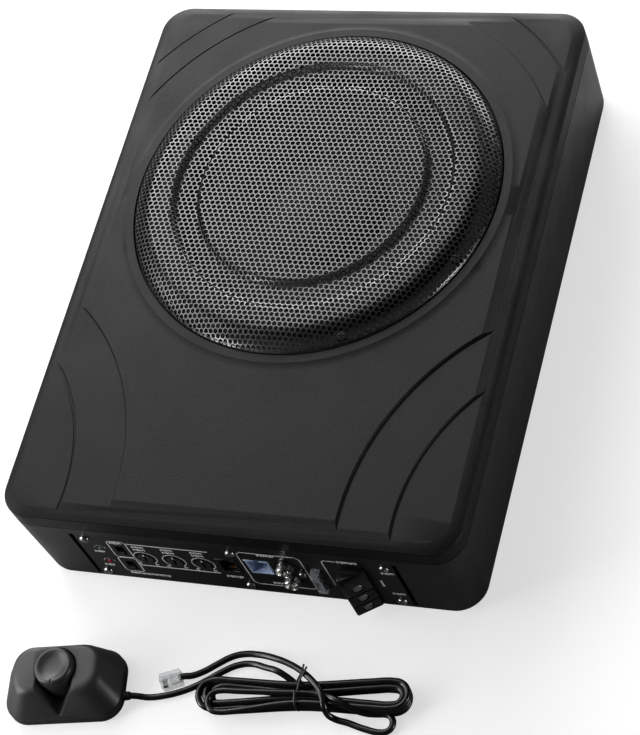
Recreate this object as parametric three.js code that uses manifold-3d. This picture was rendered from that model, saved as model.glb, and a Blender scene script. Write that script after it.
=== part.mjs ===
// Powered car subwoofer: a flat metal enclosure that lies on its back under a seat, with one driver
// behind a raised grille, a control panel in its -Y end, an amplifier inside, and a wired remote.
// Millimetres. +Z is up, out of the grille. The origin is under the enclosure's middle, on the floor.

import * as THREE from 'three'
import { mergeVertices } from 'three/addons/utils/BufferGeometryUtils.js'
import Module from 'manifold-3d'

const wasm = await Module()
wasm.setup()

// ---------------------------------------------------------------- driving dimensions

const GAP = 0.3 // between pieces that touch
const HALF_WIDTH = 125
const HALF_LENGTH = 165
const CORNER_RADIUS = 16
const WALL = 4
const PANEL_WALL = 6
const FOOT_HEIGHT = 1
const FLOOR_TOP = 3.5
const BASE_TOP = 55.7
const COVER_BOTTOM = 56.2
const EDGE_Z = 66
const CORNER_Z = 67.5
const MIDDLE_Z = 68.4
const PLATEAU_Z = 69.5
const RING_Z = 71.1
const CEILING_Z = 64.5
const SLOPE_RUN_X = 14
const SLOPE_RUN_Y = 12.6
const DRAFT_X = 2
const DRAFT_Y = 0.6
const PAD_HALF_WIDTH = 60 // the low flat pad under the enclosure that fixing tape goes on
const PAD_HALF_LENGTH = 95

const SPEAKER_Y = 40
const GRILLE_RADIUS = 102.2
const GRILLE_HOLE = 103
const RING_TOP_RADIUS = 107.5
const RING_SLOPE = 2.5 // run over rise of the raised ring's bevel
const LEDGE_Z = 67.3
const LEDGE_HOLE = 97.3
const FLANGE_Z = 64.2

const PANEL_HALF_WIDTH = 87.5
const PANEL_SLOT = 2.5
const PANEL_BOTTOM = 6
const PANEL_TOP = 50.4
const PANEL_FACE = -164.8
const PANEL_THICKNESS = 2.4
const PANEL_BACK = PANEL_FACE + PANEL_THICKNESS
const PANEL_MIDDLE_Z = 28.4 // the middle of the opening behind the panel
const PANEL_OPENING = 15.2 // and half its height

const REMOTE_X = -88
const REMOTE_Y = -230.5
const REMOTE_TURN = 10
const CORD_RADIUS = 1.7
const HANK_X = 41.6
const HANK_Y = -220
const HANK_TURN = 6.5
const HANK_LENGTH = 114
const HANK_WIDTH = 18
const PLUG_X = -31.9
const PLUG_Y = -219.2
const PLUG_TURN = 25
const HANK_BOTTOM = 1.3
const HANK_HEIGHT = 10.5

const LARGE_ROUND = 48
const MIDDLE_ROUND = 24
const SMALL_ROUND = 12
const TINY_ROUND = 8

// ---------------------------------------------------------------- looks

function look(color, roughness, metalness = 0, opacity = 1) {
  return new THREE.MeshStandardMaterial({ color, roughness, metalness, opacity, transparent: opacity < 1 })
}

const PAINT = look(0x35363a, 0.62, 0.1)
const BASE_PAINT = look(0x2b2c30, 0.5, 0.1)
const BLACK_METAL = look(0x141416, 0.35, 0.6)
const BLACK_PLASTIC = look(0x18181a, 0.5)
const GLOSS_PLASTIC = look(0x0d0d0f, 0.2)
const RUBBER = look(0x101010, 0.85)
const PAPER = look(0x1c1c1e, 0.8)
const CLOTH = look(0xb08a4a, 0.9)
const FOIL = look(0x8a5a2b, 0.5)
const ZINC = look(0xc8cac8, 0.35, 0.8)
const FERRITE = look(0x3a3a3c, 0.7)
const BOARD = look(0x1f5a36, 0.5)
const COPPER = look(0xb06a3a, 0.35, 0.7)
const NYLON = look(0xc9d3e4, 0.5)
const CLEAR = look(0xe6ecf0, 0.1, 0, 0.4)
const RED_LAMP = look(0xa01828, 0.3)
const GREEN_LAMP = look(0x9fb8a8, 0.3)

// ---------------------------------------------------------------- solids

// A closed three.js geometry as a solid whose faces point out.
function solid(geometry) {
  const bare = geometry.clone()
  bare.deleteAttribute('normal')
  bare.deleteAttribute('uv')
  const merged = mergeVertices(bare, 1e-4)
  const corners = merged.index.array
  const inward = []
  const outward = []
  for (let i = 0; i < corners.length; i += 3) {
    const [a, b, c] = [corners[i], corners[i + 1], corners[i + 2]]
    if (a !== b && b !== c && c !== a) {
      outward.push(a, b, c)
      inward.push(a, c, b)
    }
  }
  const body = (triangles) =>
    new wasm.Manifold(
      new wasm.Mesh({
        numProp: 3,
        vertProperties: new Float32Array(merged.attributes.position.array),
        triVerts: new Uint32Array(triangles),
      }),
    )
  const first = body(outward)
  return first.volume() > 0 ? first : body(inward)
}

function geometryOf(body) {
  const mesh = body.getMesh()
  const geometry = new THREE.BufferGeometry()
  geometry.setAttribute('position', new THREE.BufferAttribute(new Float32Array(mesh.vertProperties), 3))
  geometry.setIndex(new THREE.BufferAttribute(new Uint32Array(mesh.triVerts), 1))
  geometry.computeVertexNormals()
  return geometry
}

function cut(body, ...others) {
  return others.reduce((left, other) => left.subtract(other), body)
}

function join(body, ...others) {
  return others.reduce((sum, other) => sum.add(other), body)
}

function block(x0, x1, y0, y1, z0, z1) {
  const box = new THREE.BoxGeometry(x1 - x0, y1 - y0, z1 - z0)
  return solid(box.translate((x0 + x1) / 2, (y0 + y1) / 2, (z0 + z1) / 2))
}

// A box given by its middle across the panel, its half sizes, and its two ends along Y.
function panelBlock(x, z, halfX, halfZ, y0, y1) {
  return block(x - halfX, x + halfX, y0, y1, z - halfZ, z + halfZ)
}

// An upright round post or cone.
function post(x, y, z0, z1, lowRadius, highRadius = lowRadius, sides = SMALL_ROUND) {
  const cylinder = new THREE.CylinderGeometry(highRadius, lowRadius, z1 - z0, sides)
  return solid(cylinder.rotateX(Math.PI / 2).translate(x, y, (z0 + z1) / 2))
}

// A round rod along Y.
function rod(x, z, y0, y1, radius, sides = SMALL_ROUND) {
  const cylinder = new THREE.CylinderGeometry(radius, radius, y1 - y0, sides)
  return solid(cylinder.translate(x, (y0 + y1) / 2, z))
}

// A closed [radius, height] profile turned about the upright line through (x, y).
function turned(profile, sides, x = 0, y = SPEAKER_Y) {
  const points = profile.map(([radius, height]) => new THREE.Vector2(radius, height))
  if (points[0].x > 0) {
    points.push(points[0].clone())
  }
  return solid(new THREE.LatheGeometry(points, sides).rotateX(Math.PI / 2).translate(x, y, 0))
}

// The profile of a sheet: a line of [radius, height] points on its upper side, given from the rim
// inwards, and the same line moved down by the sheet's thickness.
function sheetProfile(line, thickness) {
  const lower = line.map(([radius, height], i) => {
    const before = line[Math.max(i - 1, 0)]
    const after = line[Math.min(i + 1, line.length - 1)]
    const length = Math.hypot(after[0] - before[0], after[1] - before[1])
    const right = (after[1] - before[1]) / length
    const down = (after[0] - before[0]) / length
    return [radius === 0 ? 0 : radius - thickness * right, height + thickness * down]
  })
  return [...line, ...lower.reverse()]
}

// The outline of a rectangle with round corners, as [x, y] points.
function roundRectangle(halfX, halfY, radius, middleY = 0, steps = 4) {
  const points = []
  for (let corner = 0; corner < 4; corner += 1) {
    const signX = corner === 0 || corner === 3 ? 1 : -1
    const signY = corner < 2 ? 1 : -1
    for (let step = 0; step <= steps; step += 1) {
      const angle = (corner + step / steps) * (Math.PI / 2)
      const x = signX * (halfX - radius) + radius * Math.cos(angle)
      const y = middleY + signY * (halfY - radius) + radius * Math.sin(angle)
      points.push([x, y])
    }
  }
  return points
}

// A solid through rounded rectangles at rising heights: [z, halfX, halfY, radius, middleY].
function stack(layers) {
  const positions = []
  const triangles = []
  const loops = layers.map(([z, halfX, halfY, radius, middleY = 0]) =>
    roundRectangle(halfX, halfY, radius, middleY).map(([x, y]) => [x, y, z]),
  )
  const count = loops[0].length
  loops.forEach((loop) => loop.forEach((point) => positions.push(...point)))
  for (let level = 0; level + 1 < loops.length; level += 1) {
    for (let i = 0; i < count; i += 1) {
      const a = level * count + i
      const b = level * count + ((i + 1) % count)
      triangles.push(a, b, b + count, a, b + count, a + count)
    }
  }
  const top = (loops.length - 1) * count
  for (let i = 1; i + 1 < count; i += 1) {
    triangles.push(0, i + 1, i)
    triangles.push(top, top + i, top + i + 1)
  }
  const geometry = new THREE.BufferGeometry()
  geometry.setAttribute('position', new THREE.Float32BufferAttribute(positions, 3))
  geometry.setIndex(triangles)
  return solid(geometry)
}

// A flat outline of [x, y] points raised from z0 to z1.
function prism(outline, z0, z1) {
  const shape = new THREE.Shape(outline.map(([x, y]) => new THREE.Vector2(x, y)))
  const raised = new THREE.ExtrudeGeometry(shape, { depth: z1 - z0, bevelEnabled: false })
  return solid(raised.translate(0, 0, z0))
}

// A V-shaped bar along Y, its sharp edge down at z0 and its flat top at z1.
function wedge(halfX, y0, y1, z0, z1) {
  const corners = [[-halfX, z1], [0, z0], [halfX, z1]]
  const shape = new THREE.Shape(corners.map(([x, z]) => new THREE.Vector2(x, z)))
  const raised = new THREE.ExtrudeGeometry(shape, { depth: y1 - y0, bevelEnabled: false })
  return solid(raised.rotateX(Math.PI / 2).translate(0, y1, 0))
}

// A round cord through hand-placed [x, y, z] points.
function cordTube(points) {
  const path = new THREE.CatmullRomCurve3(points.map((point) => new THREE.Vector3(...point)))
  const section = new THREE.Shape()
  section.absarc(0, 0, CORD_RADIUS, 0, 2 * Math.PI)
  const steps = Math.ceil(path.getLength() / (5 * CORD_RADIUS))
  return solid(
    new THREE.ExtrudeGeometry(section, { extrudePath: path, steps, curveSegments: 8, bevelEnabled: false }),
  )
}

// A slotted screw along Y, its head towards -Y.
function panelScrew(x, z, seatY, headRadius, length) {
  const head = rod(x, z, seatY - 1.5, seatY - GAP, headRadius, TINY_ROUND)
  const shank = rod(x, z, seatY - 1, seatY + length, 1.3, TINY_ROUND)
  const slot = panelBlock(x, z, headRadius * 0.7, 0.4, seatY - 2, seatY - 0.9)
  return cut(join(head, shank), slot)
}

// ---------------------------------------------------------------- the assembly

const subwoofer = new THREE.Group()

function add(name, body, material, parent = subwoofer) {
  const mesh = new THREE.Mesh(geometryOf(body), material)
  mesh.name = name
  parent.add(mesh)
}

const COVER_SCREWS = [-1, 1].flatMap((sideX) => [-1, 1].map((sideY) => [sideX * 111, sideY * 151]))
const FEET = [-1, 1].flatMap((sideX) => [-1, 1].map((sideY) => [sideX * 92, sideY * 132]))
const BOARD_POSTS = [-1, 1].flatMap((sideX) => [-140, -86].map((y) => [sideX * 90, y]))
const PANEL_SCREWS = [-82.5, -0.5, 82.5].flatMap((x) => [45.5, 10].map((z) => [x, z]))

// ---------------------------------------------------------------- enclosure

function baseShell() {
  const inset = (z, draft) => draft * (1 - (z - FOOT_HEIGHT) / (BASE_TOP - FOOT_HEIGHT))
  const layer = (z, edge) => [
    z,
    HALF_WIDTH - inset(z, DRAFT_X) - edge,
    HALF_LENGTH - inset(z, DRAFT_Y) - edge,
    CORNER_RADIUS - edge,
  ]
  const outside = stack([layer(FOOT_HEIGHT, 3), layer(2, 1.1), layer(4.5, 0), layer(BASE_TOP, 0)])
  const insideY = (WALL + PANEL_WALL) / 2
  const insideMiddle = (PANEL_WALL - WALL) / 2
  const inside = stack([
    [FLOOR_TOP, HALF_WIDTH - WALL - 2.5, HALF_LENGTH - insideY - 1, 10, insideMiddle],
    [6.5, HALF_WIDTH - WALL - 1.8, HALF_LENGTH - insideY, 12, insideMiddle],
    [BASE_TOP + 1, HALF_WIDTH - WALL, HALF_LENGTH - insideY, 12, insideMiddle],
  ])
  const grooveOuter = stack(rimLayers(1.4, BASE_TOP - 1.4, BASE_TOP + 1))
  const grooveInner = stack(rimLayers(3, BASE_TOP - 2, BASE_TOP + 2))
  const recessEdge = PANEL_HALF_WIDTH + PANEL_SLOT
  const recess = block(-recessEdge, recessEdge, -180, PANEL_BACK + GAP, PANEL_BOTTOM - GAP, PANEL_TOP + GAP)
  const window = panelBlock(0, PANEL_MIDDLE_Z, 79.6, PANEL_OPENING, -170, -150)
  const feet = FEET.map(([x, y]) => post(x, y, 0, 2, 8.3))
  const screwSeats = COVER_SCREWS.map(([x, y]) => post(x, y, 0, 2.6, 4.2))
  const screwHoles = COVER_SCREWS.map(([x, y]) => post(x, y, 0, 6, 2.2, 2.2, TINY_ROUND))
  const pilotHoles = PANEL_SCREWS.map(([x, z]) => rod(x, z, -164, -156, 1.6, TINY_ROUND))
  const posts = BOARD_POSTS.map(([x, y]) => post(x, y, FLOOR_TOP - 1, 13.7, 3.5, 3, TINY_ROUND))
  const fixingPad = block(-PAD_HALF_WIDTH, PAD_HALF_WIDTH, -PAD_HALF_LENGTH, PAD_HALF_LENGTH, 0, 2)
  const shell = cut(outside, inside, cut(grooveOuter, grooveInner), recess, window)
  return join(cut(shell, ...feet, ...screwSeats, ...screwHoles, ...pilotHoles), ...posts, fixingPad)
}

// Rounded rectangles at a distance inside the enclosure's wall, for the seam's groove and gasket.
function rimLayers(distance, z0, z1) {
  return [z0, z1].map((z) => [z, HALF_WIDTH - distance, HALF_LENGTH - distance, CORNER_RADIUS - distance])
}

// The cover's top surface is a low pyramid with a flat top, lowered in two steps towards each corner.
function coverOutside() {
  const outside = stack([
    [COVER_BOTTOM, HALF_WIDTH, HALF_LENGTH, CORNER_RADIUS],
    [EDGE_Z, HALF_WIDTH, HALF_LENGTH, CORNER_RADIUS],
    [PLATEAU_Z, HALF_WIDTH - SLOPE_RUN_X, HALF_LENGTH - SLOPE_RUN_Y, 9],
  ])
  const farSteps = [
    [MIDDLE_Z, 129.6],
    [CORNER_Z, 145.4],
  ].map(([z, radius]) =>
    cut(
      block(-140, 140, SPEAKER_Y, 180, z, 75),
      post(0, SPEAKER_Y, z - 1, 76, radius + 0.8, radius - 5.4, 2 * LARGE_ROUND),
    ),
  )
  const nearSteps = [-1, 1].flatMap((side) =>
    [
      [MIDDLE_Z, 138],
      [CORNER_Z, 110],
    ].map(([z, radius]) => post(side * 199.5, -148.5, z, z + 4, radius, radius + 3.2, 2 * LARGE_ROUND)),
  )
  return cut(outside, ...farSteps, ...nearSteps)
}

function topCover() {
  const ringFoot = RING_Z - 4.6
  const ringFootRadius = RING_TOP_RADIUS + RING_SLOPE * (RING_Z - ringFoot)
  const ring = post(0, SPEAKER_Y, ringFoot, RING_Z, ringFootRadius, RING_TOP_RADIUS, LARGE_ROUND)
  const blank = join(coverOutside(), ring.intersect(block(-124, 124, -160, 160, 60, 80)))
  const cavity = stack([
    [COVER_BOTTOM - 1, HALF_WIDTH - WALL, HALF_LENGTH - WALL, 12],
    [CEILING_Z - 3, HALF_WIDTH - WALL, HALF_LENGTH - WALL, 12],
    [CEILING_Z, HALF_WIDTH - WALL - 3, HALF_LENGTH - WALL - 3, 9],
  ])
  const grooveOuter = stack(rimLayers(1.4, COVER_BOTTOM - 1, COVER_BOTTOM + 1.4))
  const grooveInner = stack(rimLayers(3, COVER_BOTTOM - 2, COVER_BOTTOM + 2))
  const speakerHole = post(0, SPEAKER_Y, 60, 80, LEDGE_HOLE, LEDGE_HOLE, LARGE_ROUND)
  const grilleHole = post(0, SPEAKER_Y, LEDGE_Z, 80, GRILLE_HOLE, GRILLE_HOLE, LARGE_ROUND)
  const shell = cut(blank, cavity, cut(grooveOuter, grooveInner), speakerHole, grilleHole)
  const posts = COVER_SCREWS.map(([x, y]) => post(x, y, 3.8, CEILING_Z + 1, 4, 5, TINY_ROUND))
  const threads = COVER_SCREWS.map(([x, y]) => post(x, y, 3, 20, 1.9, 1.9, TINY_ROUND))
  return cut(join(shell, ...posts), ...threads)
}

function enclosure() {
  add('base_shell', baseShell(), BASE_PAINT)
  add('top_cover', topCover(), PAINT)
  const gasket = cut(
    stack(rimLayers(1.7, BASE_TOP - 1.1, COVER_BOTTOM + 1.1)),
    stack(rimLayers(2.7, BASE_TOP - 2, COVER_BOTTOM + 2)),
  )
  add('seam_gasket', gasket, RUBBER)
  FEET.forEach(([x, y], i) => {
    add(`foot_${i + 1}`, post(x, y, 0, 2 - GAP, 8), RUBBER)
  })
  COVER_SCREWS.forEach(([x, y], i) => {
    const head = post(x, y, 1.1, 2.6 - GAP, 3.8, 3.4, TINY_ROUND)
    const shank = post(x, y, 1.5, 18, 1.5, 1.5, TINY_ROUND)
    const hex = new THREE.CylinderGeometry(1.6, 1.6, 1.6, 6).rotateX(Math.PI / 2).translate(x, y, 1.3)
    add(`cover_screw_${i + 1}`, cut(join(head, shank), solid(hex)), BLACK_METAL)
  })
}

// ---------------------------------------------------------------- grille

// From the rim: a curved wall, a flat ridge, a groove one step down, and a flat middle.
const RIDGE_Z = 79
const GROOVE_Z = 76.5
const GRILLE_LINE = [
  [GRILLE_RADIUS, 67.7],
  [GRILLE_RADIUS, 70.6],
  [99.6, 73.4],
  [95.6, 76.2],
  [91, 78.2],
  [86.5, RIDGE_Z],
  [78.6, RIDGE_Z],
  [76.4, GROOVE_Z],
  [64.6, GROOVE_Z],
  [62.4, RIDGE_Z],
  [0, RIDGE_Z],
]

function grille() {
  add('grille', turned(sheetProfile(GRILLE_LINE, 1), LARGE_ROUND), BLACK_METAL)
}

// ---------------------------------------------------------------- driver

function basket() {
  const line = [
    [105, FLANGE_Z],
    [89.5, FLANGE_Z],
    [86.5, 61.5],
    [62, 36.2],
    [50.5, 36.2],
    [49.5, 31],
    [24, 31],
  ]
  const frame = turned(sheetProfile(line, 1.8), LARGE_ROUND)
  const windows = [0, 1, 2, 3, 4, 5].map((i) => {
    const angle = (i * Math.PI) / 3
    const opening = new THREE.BoxGeometry(17, 52, 30).translate(74, 0, 48)
    return solid(opening.rotateZ(angle).translate(0, SPEAKER_Y, 0))
  })
  return cut(frame, ...windows)
}

function surroundLine() {
  const line = [[96.5, 65.3], [88.4, 65.3]]
  for (let step = 1; step < 5; step += 1) {
    const angle = (step / 5) * Math.PI
    line.push([80.3 + 8.1 * Math.cos(angle), 65.3 + 6.4 * Math.sin(angle)])
  }
  line.push([72.2, 65.3], [68, 65.3])
  return line
}

function spiderLine() {
  const line = [[58, 37.2], [50, 37.2]]
  for (let step = 1; step < 6; step += 1) {
    const height = step % 2 === 1 ? 38.6 : 36.4
    line.push([50 - (step * 29) / 6, height])
  }
  line.push([20.6, 37.4])
  return line
}

function driver() {
  add('basket', basket(), BLACK_METAL)
  add('surround', turned(sheetProfile(surroundLine(), 0.8), MIDDLE_ROUND), RUBBER)
  const coneLine = [[72.2, 64.2], [68.6, 64.2], [46, 55.6], [21.5, 43.5]]
  add('cone', turned(sheetProfile(coneLine, 1), MIDDLE_ROUND), PAPER)
  const capLine = [[34, 50.6], [27, 54.8], [18, 58.2], [9, 60], [0, 60.6]]
  add('dust_cap', turned(sheetProfile(capLine, 0.8), MIDDLE_ROUND), PAPER)
  add('spider', turned(sheetProfile(spiderLine(), 0.6), MIDDLE_ROUND), CLOTH)
  const former = [[20, 22], [20, 46], [19.4, 46], [19.4, 22]]
  add('coil_former', turned(former, MIDDLE_ROUND), FOIL)
  const topPlate = [[21, 24.2], [50, 24.2], [50, 28.9], [21, 28.9]]
  add('top_plate', turned(topPlate, MIDDLE_ROUND), ZINC)
  const magnet = [[27, 10.8], [55, 10.8], [55, 23.9], [27, 23.9]]
  add('magnet', turned(magnet, MIDDLE_ROUND), FERRITE)
  const backPlate = [[6, 5.5], [50, 5.5], [50, 10.5], [18.8, 10.5], [18.8, 28.9], [6, 28.9]]
  add('back_plate', turned(backPlate, MIDDLE_ROUND), ZINC)
}

// ---------------------------------------------------------------- control panel

const KNOBS = [
  ['level_knob', -53.5],
  ['crossover_knob', -37],
  ['boost_knob', -20.5],
]
const KNOB_Z = 29.8
const KNOB_RADIUS = 4.5
const SWITCHES = [
  ['phase_switch', 35.6],
  ['turn_on_switch', 19.2],
]
const SWITCH_X = -65.2
const LAMPS = [
  ['power_lamp', 36, GREEN_LAMP],
  ['protect_lamp', 21.5, RED_LAMP],
]
const LAMP_X = -77
const JACK_X = -6
const JACK_Z = 30.2
const SOCKET_X = 12
const SOCKET_Z = 33
const PHONO_X = 27.5
const PHONO_HEIGHTS = [38.2, 24.2]
const PHONO_SCREW_X = 34.4
const PHONO_SCREW_Z = 29.4
const FUSE_X = 43.5
const FUSE_Z = 27.5
const CLAMP_HEIGHTS = [10, 20, 30]
const CLAMP_X = 65.6

function controlPanel() {
  const plate = block(
    -PANEL_HALF_WIDTH, PANEL_HALF_WIDTH, PANEL_FACE, PANEL_BACK, PANEL_BOTTOM, PANEL_TOP,
  )
  const through = [PANEL_FACE - 5, PANEL_BACK + 5]
  const screwHoles = PANEL_SCREWS.map(([x, z]) => rod(x, z, ...through, 1.7, TINY_ROUND))
  const knobHoles = KNOBS.map(([, x]) => rod(x, KNOB_Z, ...through, KNOB_RADIUS + 0.6))
  const switchHoles = SWITCHES.map(([, z]) => panelBlock(SWITCH_X, z, 2.4, 4.6, ...through))
  const lampHoles = LAMPS.map(([, z]) => rod(LAMP_X, z, ...through, 1.8, TINY_ROUND))
  const jackHole = panelBlock(JACK_X, JACK_Z, 6.3, 7.8, ...through)
  const socketHole = panelBlock(SOCKET_X, SOCKET_Z, 6.8, 7.3, ...through)
  const phonoHoles = PHONO_HEIGHTS.map((z) => rod(PHONO_X, z, ...through, 5.4))
  const phonoScrewHole = rod(PHONO_SCREW_X, PHONO_SCREW_Z, ...through, 1.7, TINY_ROUND)
  const fuseHole = panelBlock(FUSE_X, FUSE_Z, 3.4, 10.4, ...through)
  const powerHole = panelBlock(65, PANEL_MIDDLE_Z, 5, 13.9, ...through)
  return cut(
    plate, ...screwHoles, ...knobHoles, ...switchHoles, ...lampHoles,
    jackHole, socketHole, ...phonoHoles, phonoScrewHole, fuseHole, powerHole,
  )
}

// A flush round knob with a screwdriver slot, on a shaft that turns in its potentiometer.
function knob(x) {
  const cap = rod(x, KNOB_Z, PANEL_FACE - 0.3, -160.5, KNOB_RADIUS)
  const shaft = rod(x, KNOB_Z, -161, -154, 1.5, TINY_ROUND)
  const slot = panelBlock(x, KNOB_Z, 0.6, 3.4, PANEL_FACE - 1, PANEL_FACE + 1.1)
  return cut(join(cap, shaft), slot)
}

function controlPots() {
  const bodies = KNOBS.map(([, x]) => panelBlock(x, KNOB_Z, 6, 6.5, -160.2, -152))
  const strip = panelBlock(-37, KNOB_Z, 24, 8, -152.3, -150.7)
  const bores = KNOBS.map(([, x]) => rod(x, KNOB_Z, -161, -153.4, 1.9, TINY_ROUND))
  return cut(join(strip, ...bodies), ...bores)
}

function switchBank() {
  const body = panelBlock(SWITCH_X, PANEL_MIDDLE_Z, 4.4, PANEL_OPENING - GAP, PANEL_BACK + GAP, -154)
  const slots = SWITCHES.map(([, z]) => panelBlock(SWITCH_X, z, 2.4, 4.9, -164, -157))
  return cut(body, ...slots)
}

// A switch's sliding tab, drawn at the lower end of its travel.
const SWITCH_TRAVEL = 4

function switchTab(z) {
  const foot = panelBlock(SWITCH_X, z - SWITCH_TRAVEL / 2, 2, 2.3, -160.5, -157.4)
  const nib = panelBlock(SWITCH_X, z - SWITCH_TRAVEL / 2, 1.5, 1.6, PANEL_FACE - 0.4, -160)
  return join(foot, nib)
}

function lamp(z) {
  const body = rod(LAMP_X, z, PANEL_FACE - 0.6, -158, 1.5, TINY_ROUND)
  const rim = rod(LAMP_X, z, PANEL_BACK + GAP, -161, 2, TINY_ROUND)
  return join(body, rim)
}

function remoteJack() {
  const body = panelBlock(JACK_X, JACK_Z, 6, 7.5, PANEL_FACE - 0.3, -149)
  const opening = panelBlock(JACK_X, JACK_Z, 4.1, 5.2, -170, -151.5)
  const latchWay = panelBlock(JACK_X, JACK_Z + 5.6, 2, 1.2, -170, -151.5)
  return cut(body, opening, latchWay)
}

// Four contact pins stand in an open plastic shell.
function inputSocket() {
  const body = panelBlock(SOCKET_X, SOCKET_Z, 6.5, 7, PANEL_FACE - 0.3, -151)
  const opening = panelBlock(SOCKET_X, SOCKET_Z, 5.3, 5.8, -170, -153.5)
  const pins = [-1, 1].flatMap((sideX) =>
    [-1, 1].map((sideZ) =>
      panelBlock(SOCKET_X + sideX * 2.4, SOCKET_Z + sideZ * 2.6, 0.6, 0.6, -159.4, -153),
    ),
  )
  return join(cut(body, opening), ...pins)
}

function phonoBlock() {
  const body = block(PHONO_X - 7, PHONO_X + 7, PANEL_BACK + GAP, -152, 16, 41.6)
  const bosses = PHONO_HEIGHTS.map((z) => rod(PHONO_X, z, PANEL_FACE - 0.4, -161, 5.1))
  const bores = PHONO_HEIGHTS.map((z) => rod(PHONO_X, z, -170, -157, 4.5))
  return cut(join(body, ...bosses), ...bores)
}

function phonoJack(z) {
  const barrel = rod(PHONO_X, z, -170, -157.4, 4.15)
  return cut(barrel, rod(PHONO_X, z, -175, -159.5, 3.3))
}

function fuseHolder() {
  const body = panelBlock(FUSE_X, FUSE_Z, 4.6, 12, PANEL_BACK + GAP, -148)
  return cut(body, panelBlock(FUSE_X, FUSE_Z, 3, 10, -170, -150))
}

// A blade fuse: a flat grip with two blades, pulled out towards -Y.
function bladeFuse() {
  const grip = panelBlock(FUSE_X, FUSE_Z, 2.5, 9.5, PANEL_FACE - 4.4, -160)
  const recess = panelBlock(FUSE_X, FUSE_Z, 1.5, 3.4, PANEL_FACE - 6, PANEL_FACE - 3.6)
  const blades = [-1, 1].map((side) => panelBlock(FUSE_X, FUSE_Z + side * 6.6, 0.45, 2.6, -161, -151.5))
  return join(cut(grip, recess), ...blades)
}

// The power block's left edge stands proud and its face runs back to the panel on the right.
const FACE_LEFT = [60.2, -173.7]
const FACE_RIGHT = [71.4, -166.2]
const FACE_SLOPE = (FACE_RIGHT[1] - FACE_LEFT[1]) / (FACE_RIGHT[0] - FACE_LEFT[0])
const CLAMP_Y = FACE_LEFT[1] + (CLAMP_X - FACE_LEFT[0]) * FACE_SLOPE

function powerBlock() {
  const root = PANEL_FACE - GAP
  const outline = [[58.6, root], [58.6, -172.6], [59.2, -173.5], FACE_LEFT, FACE_RIGHT, [71.4, root]]
  const nose = prism(outline, 6.2, 44)
  const tail = panelBlock(65, PANEL_MIDDLE_Z, 4.6, 13.5, -165.5, -150)
  const pockets = CLAMP_HEIGHTS.map((z) => {
    const hole = new THREE.CylinderGeometry(3, 3, 5, SMALL_ROUND).rotateZ(Math.atan(FACE_SLOPE))
    return solid(hole.translate(CLAMP_X, CLAMP_Y, z))
  })
  return cut(join(nose, tail), ...pockets)
}

function clampScrew(z) {
  const place = (geometry) =>
    solid(geometry.rotateZ(Math.atan(FACE_SLOPE)).translate(CLAMP_X - 0.6, CLAMP_Y + 0.9, z))
  const head = new THREE.CylinderGeometry(2.6, 2.6, 1.6, SMALL_ROUND)
  const slot = new THREE.BoxGeometry(6, 1, 0.8).translate(0, -1, 0)
  return cut(place(head), place(slot))
}

function panelParts() {
  add('control_panel', controlPanel(), BLACK_PLASTIC)
  PANEL_SCREWS.forEach(([x, z], i) => {
    add(`panel_screw_${i + 1}`, panelScrew(x, z, PANEL_FACE, 2.6, 6), ZINC)
  })
  add('phono_screw', panelScrew(PHONO_SCREW_X, PHONO_SCREW_Z, PANEL_FACE, 2.1, 1.6), ZINC)
  KNOBS.forEach(([name, x]) => add(name, knob(x), GLOSS_PLASTIC))
  add('control_pots', controlPots(), BLACK_PLASTIC)
  add('switch_bank', switchBank(), BLACK_PLASTIC)
  SWITCHES.forEach(([name, z]) => add(name, switchTab(z), GLOSS_PLASTIC))
  LAMPS.forEach(([name, z, material]) => add(name, lamp(z), material))
  add('remote_jack', remoteJack(), GLOSS_PLASTIC)
  add('input_socket', inputSocket(), NYLON)
  add('phono_block', phonoBlock(), BLACK_PLASTIC)
  PHONO_HEIGHTS.forEach((z, i) => add(`phono_jack_${i + 1}`, phonoJack(z), ZINC))
  add('fuse_holder', fuseHolder(), BLACK_PLASTIC)
  add('blade_fuse', bladeFuse(), CLEAR)
  add('power_block', powerBlock(), GLOSS_PLASTIC)
  CLAMP_HEIGHTS.forEach((z, i) => add(`clamp_screw_${i + 1}`, clampScrew(z), ZINC))
}

// ---------------------------------------------------------------- amplifier

function amplifier() {
  const boardTop = 15.6
  const board = block(-100, 100, -147, -78, 14, boardTop)
  const capacitors = [24, 40, 56, 72].map((x) => post(x, -98, boardTop - 0.5, 38, 6.5, 6.5, TINY_ROUND))
  const coils = [-20, 0].map((x) => block(x - 7, x + 7, -106, -92, boardTop - 0.5, 27))
  const sink = block(-30, 84, -128, -124, boardTop - 0.5, 40)
  const fins = [-26, -12, 2, 16, 30, 44, 58, 72].map((x) => block(x, x + 3, -125, -116, boardTop - 0.5, 40))
  add('amplifier_board', join(board, ...capacitors, ...coils, sink, ...fins), BOARD)
  const core = []
  for (let step = 0; step < 10; step += 1) {
    const angle = (step / 10) * 2 * Math.PI
    core.push([13.5 + 6 * Math.cos(angle), 24 + 8 * Math.sin(angle)])
  }
  add('transformer', turned(core, SMALL_ROUND, -68, -108), COPPER)
}

// ---------------------------------------------------------------- remote control

const GLAND_Y = -6.5 // the cord leaves the remote near its front

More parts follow.
